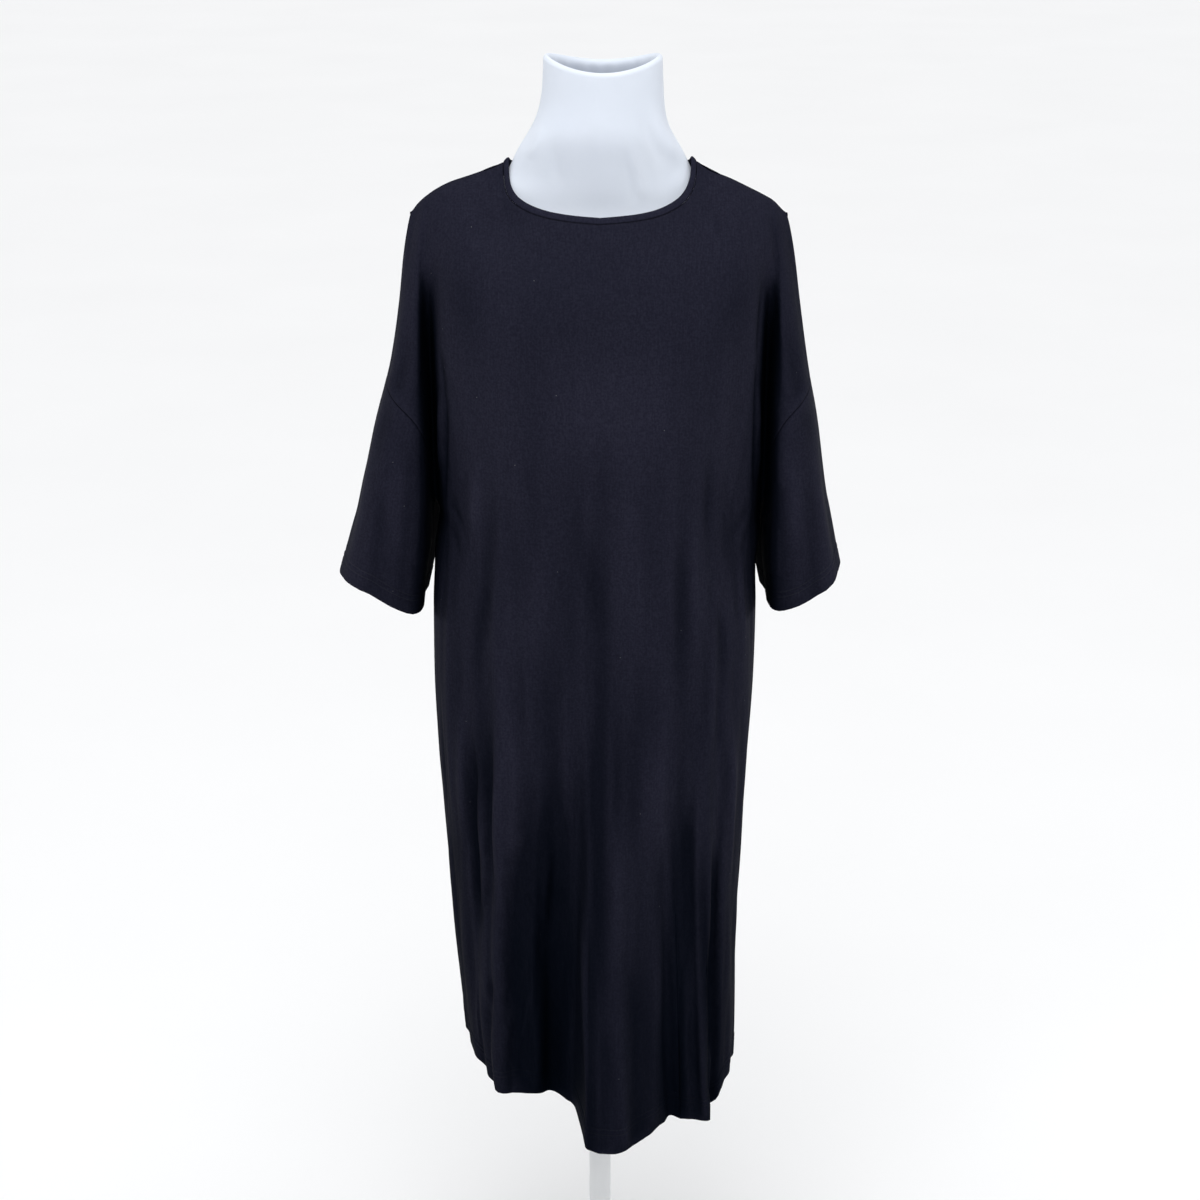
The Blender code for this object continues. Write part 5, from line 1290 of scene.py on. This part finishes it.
def jersey(name, light=1.0):
    n = Nodes(name)
    uv = n.new("ShaderNodeUVMap", uv_map="cloth").outputs["UV"]
    place = n.new("ShaderNodeTexCoord").outputs["Object"]
    split = n.new("ShaderNodeSeparateXYZ")
    n.link(uv, split.inputs[0])
    u, v = split.outputs["X"], split.outputs["Y"]
    hem = n.new("ShaderNodeAttribute", attribute_name="hem").outputs["Fac"]
    seam = n.new("ShaderNodeAttribute", attribute_name="seam").outputs["Fac"]

    # colour: near-black navy with slow drifts of dye, streaks of yarn down the cloth and paler specks of lint
    slow = n.noise(place, 5.0, 2.0)
    fine = n.noise(place, 420.0, 4.0, 0.6)
    streaks = []
    for across, along in ((560.0, 55.0), (1100.0, 160.0), (45.0, 620.0)):
        stretch = n.new("ShaderNodeMapping")
        stretch.inputs["Scale"].default_value = (across, along, 1.0)
        n.link(uv, stretch.inputs["Vector"])
        streaks.append(n.noise(stretch.outputs["Vector"], 1.0, 3.0, 0.6))
    yarn = n.math("ADD", n.math("MULTIPLY", streaks[0], 0.45), n.math("MULTIPLY", streaks[1], 0.35))
    yarn = n.math("ADD", yarn, n.math("MULTIPLY", streaks[2], 0.20))
    yarn = n.math("MULTIPLY", n.math("SUBTRACT", yarn, 0.38), 4.2, clamp=True)
    fleck = n.math("MULTIPLY", n.math("SUBTRACT", fine, 0.40), 4.5, clamp=True)
    k = light * 1.2
    colour = n.ramp(slow, ((0.3, (0.0088 * k, 0.0090 * k, 0.0186 * k)), (0.7, (0.0108 * k, 0.0110 * k, 0.0212 * k))))
    colour = n.mix(n.math("MULTIPLY", yarn, 0.78), colour, (0.0176 * k, 0.0180 * k, 0.0315 * k, 1))
    colour = n.mix(n.math("MULTIPLY", fleck, 0.60), colour, (0.0064 * k, 0.0065 * k, 0.0140 * k, 1))
    voronoi = n.new("ShaderNodeTexVoronoi", voronoi_dimensions="2D")
    voronoi.inputs["Scale"].default_value = 46.0
    n.link(uv, voronoi.inputs["Vector"])
    near = n.math("LESS_THAN", voronoi.outputs["Distance"], 0.024)
    pick = n.new("ShaderNodeSeparateColor")
    n.link(voronoi.outputs["Color"], pick.inputs[0])
    lint = n.math("MULTIPLY", near, n.math("GREATER_THAN", pick.outputs[0], 0.97))
    colour = n.mix(n.math("MULTIPLY", lint, 0.55), colour, (0.16, 0.165, 0.18, 1))

    # twin-needle stitching along the hem and cuffs
    lines = n.math("MAXIMUM", band(n, hem, HEM_DEPTH, 0.75), band(n, hem, HEM_DEPTH - STITCH_ROWS, 0.75))
    dash = n.math("FRACT", n.math("MULTIPLY", u, 1 / 0.0031))
    dash = n.math("SUBTRACT", 1.0, n.math("POWER", n.math("ABSOLUTE", n.math("SUBTRACT", n.math("MULTIPLY", dash, 2.0), 1.0)), 6.0), clamp=True)
    stitch = n.math("MULTIPLY", lines, dash)
    # the stitches are drawn paler: partly the thread's own tone, partly a painted sheen on it
    colour = n.mix(n.math("MULTIPLY", stitch, 0.7), colour, (0.026 * k, 0.027 * k, 0.037 * k, 1))
    # painted shade: the base colour is darkened where the computed openness is low (in the troughs and the cloth under
    # the arms) and, by height, down the skirt's lower part
    open_to_light = n.new("ShaderNodeAttribute", attribute_name="open").outputs["Fac"]
    shade = n.math("ADD", n.math("MULTIPLY", n.math("POWER", open_to_light, 2.2), 0.95), 0.05)
    level = n.new("ShaderNodeSeparateXYZ")
    n.link(place, level.inputs[0])
    # painted shade by height: the colour darkens towards the hem
    height = n.new("ShaderNodeMapRange", interpolation_type="SMOOTHSTEP")
    for key, value in (("From Min", 0.28), ("From Max", 1.20), ("To Min", 0.36), ("To Max", 1.0)):
        height.inputs[key].default_value = value
    n.link(level.outputs["Z"], height.inputs["Value"])
    shade = n.math("MULTIPLY", shade, height.outputs["Result"])
    # painted light and shade from the relief: the ridges of the creases and ripples are painted lighter, their troughs
    # darker
    relief = n.new("ShaderNodeAttribute", attribute_name="relief").outputs["Fac"]
    wear_and_relief_shade = n.math("ADD", 0.83, n.math("MULTIPLY", relief, 0.115))
    wear_and_relief_shade = n.math("MAXIMUM", n.math("MINIMUM", wear_and_relief_shade, 1.25), 0.42)
    shade = n.math("MULTIPLY", shade, wear_and_relief_shade)
    # painted shade: the colour is mixed towards this blue-black as the painted shade deepens
    colour = n.mix(shade, (0.0007, 0.0018, 0.0040, 1), colour)
    dark = n.math("SUBTRACT", 1.0, n.math("DIVIDE", seam, 1.5), clamp=True)
    colour = n.mix(n.math("MULTIPLY", dark, 0.7), colour, (0.002, 0.002, 0.004, 1))
    n.link(colour, n.shader.inputs["Base Color"])

    # the knit: wales down the cloth, loops along them
    wale = n.math("ABSOLUTE", n.math("SINE", n.math("MULTIPLY", u, math.pi / 0.00095)))
    course = n.math("SINE", n.math("ADD", n.math("MULTIPLY", v, 2 * math.pi / 0.00085), n.math("MULTIPLY", wale, 2.4)))
    knit = n.math("ADD", n.math("MULTIPLY", wale, 0.6), n.math("MULTIPLY", course, 0.2))
    fuzz = n.noise(place, 1500.0, 3.0, 0.7)
    soft = n.noise(place, 85.0, 4.0, 0.55)
    normal = n.bump(soft, 0.20, 0.0012)
    normal = n.bump(knit, 0.45, 0.00016, normal)
    normal = n.bump(fuzz, 0.35, 0.00012, normal)
    normal = n.bump(stitch, 0.8, 0.0003, normal)
    n.link(normal, n.shader.inputs["Normal"])
    rough = n.math("ADD", n.math("MULTIPLY", fine, 0.12), 0.78)
    n.link(rough, n.shader.inputs["Roughness"])
    # the painted shade also dims the reflections in the same places
    n.link(n.math("MULTIPLY", shade, 0.08), n.shader.inputs["Specular IOR Level"])
    return n.material


def stretch_cover():
    n = Nodes("white_stretch_cover")
    place = n.new("ShaderNodeTexCoord").outputs["Object"]
    slow = n.noise(place, 7.0, 2.0)
    fine = n.noise(place, 600.0, 4.0, 0.6)
    colour = n.ramp(slow, ((0.3, (0.72, 0.77, 0.86)), (0.7, (0.77, 0.82, 0.90))))
    colour = n.mix(n.math("MULTIPLY", fine, 0.25), colour, (0.68, 0.73, 0.83, 1))
    # painted shade: the cover's colour is mixed towards grey inside the neck's hollow
    hollow = n.new("ShaderNodeAttribute", attribute_name="hollow").outputs["Fac"]
    colour = n.mix(n.math("MULTIPLY", hollow, 0.85), colour, (0.36, 0.39, 0.45, 1))
    n.link(colour, n.shader.inputs["Base Color"])
    split = n.new("ShaderNodeSeparateXYZ")
    n.link(place, split.inputs[0])
    rib = n.math("SINE", n.math("MULTIPLY", split.outputs["Z"], 2 * math.pi / 0.0008))
    rib2 = n.math("SINE", n.math("MULTIPLY", split.outputs["X"], 2 * math.pi / 0.0011))
    weave = n.math("MULTIPLY", rib, rib2)
    soft = n.noise(place, 60.0, 3.0)
    normal = n.bump(soft, 0.18, 0.0015)
    normal = n.bump(weave, 0.30, 0.00012, normal)
    n.link(normal, n.shader.inputs["Normal"])
    n.link(n.math("ADD", n.math("MULTIPLY", fine, 0.15), 0.62), n.shader.inputs["Roughness"])
    n.shader.inputs["Specular IOR Level"].default_value = 0.35
    n.shader.inputs["Sheen Weight"].default_value = 0.15
    n.shader.inputs["Sheen Roughness"].default_value = 0.5
    return n.material


def painted_steel():
    n = Nodes("pale_painted_steel")
    place = n.new("ShaderNodeTexCoord").outputs["Object"]
    slow = n.noise(place, 11.0, 3.0)
    peel = n.noise(place, 1300.0, 2.0)
    scuff = n.noise(place, 38.0, 6.0, 0.7)
    colour = n.ramp(slow, ((0.3, (0.76, 0.77, 0.78)), (0.7, (0.82, 0.83, 0.84))))
    wear_and_relief_shade = n.math("MULTIPLY", n.math("SUBTRACT", scuff, 0.66, clamp=True), 4.0, clamp=True)
    colour = n.mix(wear_and_relief_shade, colour, (0.60, 0.60, 0.60, 1))
    n.link(colour, n.shader.inputs["Base Color"])
    n.link(n.bump(peel, 0.25, 0.0002), n.shader.inputs["Normal"])
    n.link(n.math("ADD", n.math("MULTIPLY", scuff, 0.25), 0.28), n.shader.inputs["Roughness"])
    n.shader.inputs["Coat Weight"].default_value = 0.15
    n.shader.inputs["Coat Roughness"].default_value = 0.3
    return n.material


def floor_material():
    n = Nodes("pale_floor")
    place = n.new("ShaderNodeTexCoord").outputs["Object"]
    colour = n.ramp(n.noise(place, 1.5, 3.0), ((0.3, (0.925, 0.925, 0.93)), (0.7, (0.94, 0.94, 0.945))))
    n.link(colour, n.shader.inputs["Base Color"])
    n.shader.inputs["Roughness"].default_value = 0.9
    n.shader.inputs["Specular IOR Level"].default_value = 0.1
    return n.material


# ---------------------------------------------------------------- pieces
cloth = jersey("near_black_jersey")
# the neck band is the same jersey drawn 15% paler: a painted highlight for its rolled edge
trim = jersey("near_black_jersey_band", 1.15)
cover = stretch_cover()
steel = painted_steel()


def add_sheet(obj, node):
    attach(obj, "root")
    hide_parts(node)


for part in ("front", "back"):
    points, faces, facts = fine_panel(part)
    obj = shell_mesh(part + "_panel", points, faces, facts, [cloth])
    add_sheet(obj, part)
for side, name in ((-1, "left"), (1, "right")):
    points, faces, facts = fine_sleeve(side)
    obj = shell_mesh("sleeve_%s_cloth" % name, points, faces, facts, [cloth])
    add_sheet(obj, "sleeve_" + name)
binding = fine_binding()
binding.data.materials.append(trim)
add_sheet(binding, "neck_binding")

form = fine_form()
sheets = [bpy.data.objects[x] for x in ("front_panel", "back_panel", "sleeve_left_cloth", "sleeve_right_cloth")]
corners, every_face = [], []
for obj in sheets:
    base = sum(len(c) for c in corners)
    corners.append([tuple(v.co) for v in obj.data.vertices])
    half = len(obj.data.vertices) // 2
    every_face += [tuple(i + base for i in f.vertices) for f in obj.data.polygons if max(f.vertices) < half]
obstacles = BVHTree.FromPolygons([c for group in corners for c in group], every_face)
# painted shade: each sheet's outer side keeps its openness as "open", which the jersey paints into its colour as shade;
# the inner side gets a fixed painted shade of 0.35, and the neck band none
for obj in sheets:
    half = len(obj.data.vertices) // 2
    layer = obj.data.attributes.new("open", "FLOAT", "POINT")
    layer.data.foreach_set("value", np.concatenate([openness(obj.data, half, obstacles), np.full(half, 0.35)]).astype(np.float32))
layer = binding.data.attributes.new("open", "FLOAT", "POINT")
layer.data.foreach_set("value", np.ones(len(binding.data.vertices), np.float32))
form.data.materials.append(cover)
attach(form, "root")
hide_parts("form_torso")

for name in ("stand_collar", "stand_pole", "stand_base"):
    node = frame["nodes"][name]
    if not node.material_slots:
        node.data.materials.append(steel)
    for slot in node.material_slots:
        slot.material = steel

# ---------------------------------------------------------------- stage, light and camera
bpy.ops.mesh.primitive_circle_add(vertices=96, radius=40, fill_type="NGON", location=(0, 0, 0))
floor = bpy.context.object
floor.name = "floor"
floor.data.materials.append(floor_material())

world_light = bpy.data.worlds.new("studio")
scene.world = world_light
world_light.use_nodes = True
background = world_light.node_tree.nodes["Background"]
background.inputs["Color"].default_value = (0.97, 0.985, 1.0, 1)
# dim overhead and white towards the horizon, as in a studio with a white sweep
sky = world_light.node_tree
direction = sky.nodes.new("ShaderNodeTexCoord")
parts = sky.nodes.new("ShaderNodeSeparateXYZ")
sky.links.new(direction.outputs["Generated"], parts.inputs[0])
level = sky.nodes.new("ShaderNodeMapRange")
level.interpolation_type = "SMOOTHSTEP"
for key, value in (("From Min", 0.03), ("From Max", 0.20), ("To Min", 0.98), ("To Max", 0.38)):
    level.inputs[key].default_value = value
sky.links.new(parts.outputs["Z"], level.inputs["Value"])
sky.links.new(level.outputs["Result"], background.inputs["Strength"])


def area_light(name, place, target, size, power, colour=(1, 1, 1)):
    data = bpy.data.lights.new(name, "AREA")
    data.shape, data.size, data.size_y = "RECTANGLE", size[0], size[1]
    data.energy, data.color = power, colour
    obj = bpy.data.objects.new(name, data)
    scene.collection.objects.link(obj)
    obj.location = place
    d = [target[i] - place[i] for i in range(3)]
    flat = math.hypot(d[0], d[1])
    obj.rotation_euler = (math.atan2(flat, -d[2]), 0, math.atan2(-d[0], d[1]) if flat > 1e-6 else 0.0)
    return obj


area_light("key_box", (-0.25, -1.25, 2.75), (0, 0, 1.25), (1.1, 0.8), 11.0)
area_light("side_left", (-2.3, -0.7, 1.7), (0, 0, 1.0), (0.6, 2.0), 1.5)
area_light("side_right", (2.3, -0.5, 1.7), (0, 0, 1.0), (0.6, 2.0), 5.0)
sun = bpy.data.lights.new("overhead", "SUN")
sun.energy, sun.angle = 1.95, math.radians(60)
sun_object = bpy.data.objects.new("overhead", sun)
scene.collection.objects.link(sun_object)
sun_object.rotation_euler = (math.radians(8), 0, 0)

camera_data = bpy.data.cameras.new("camera")
camera = bpy.data.objects.new("camera", camera_data)
scene.collection.objects.link(camera)
camera_data.lens, camera_data.sensor_width = 75.0, 36.0
camera.location = (0.0, -2.552, SHOULDER_HEIGHT * MM + 0.446)
camera.rotation_euler = (math.radians(70), 0, 0)
scene.camera = camera
scene.view_settings.view_transform = "Standard"
scene.view_settings.look = "None"
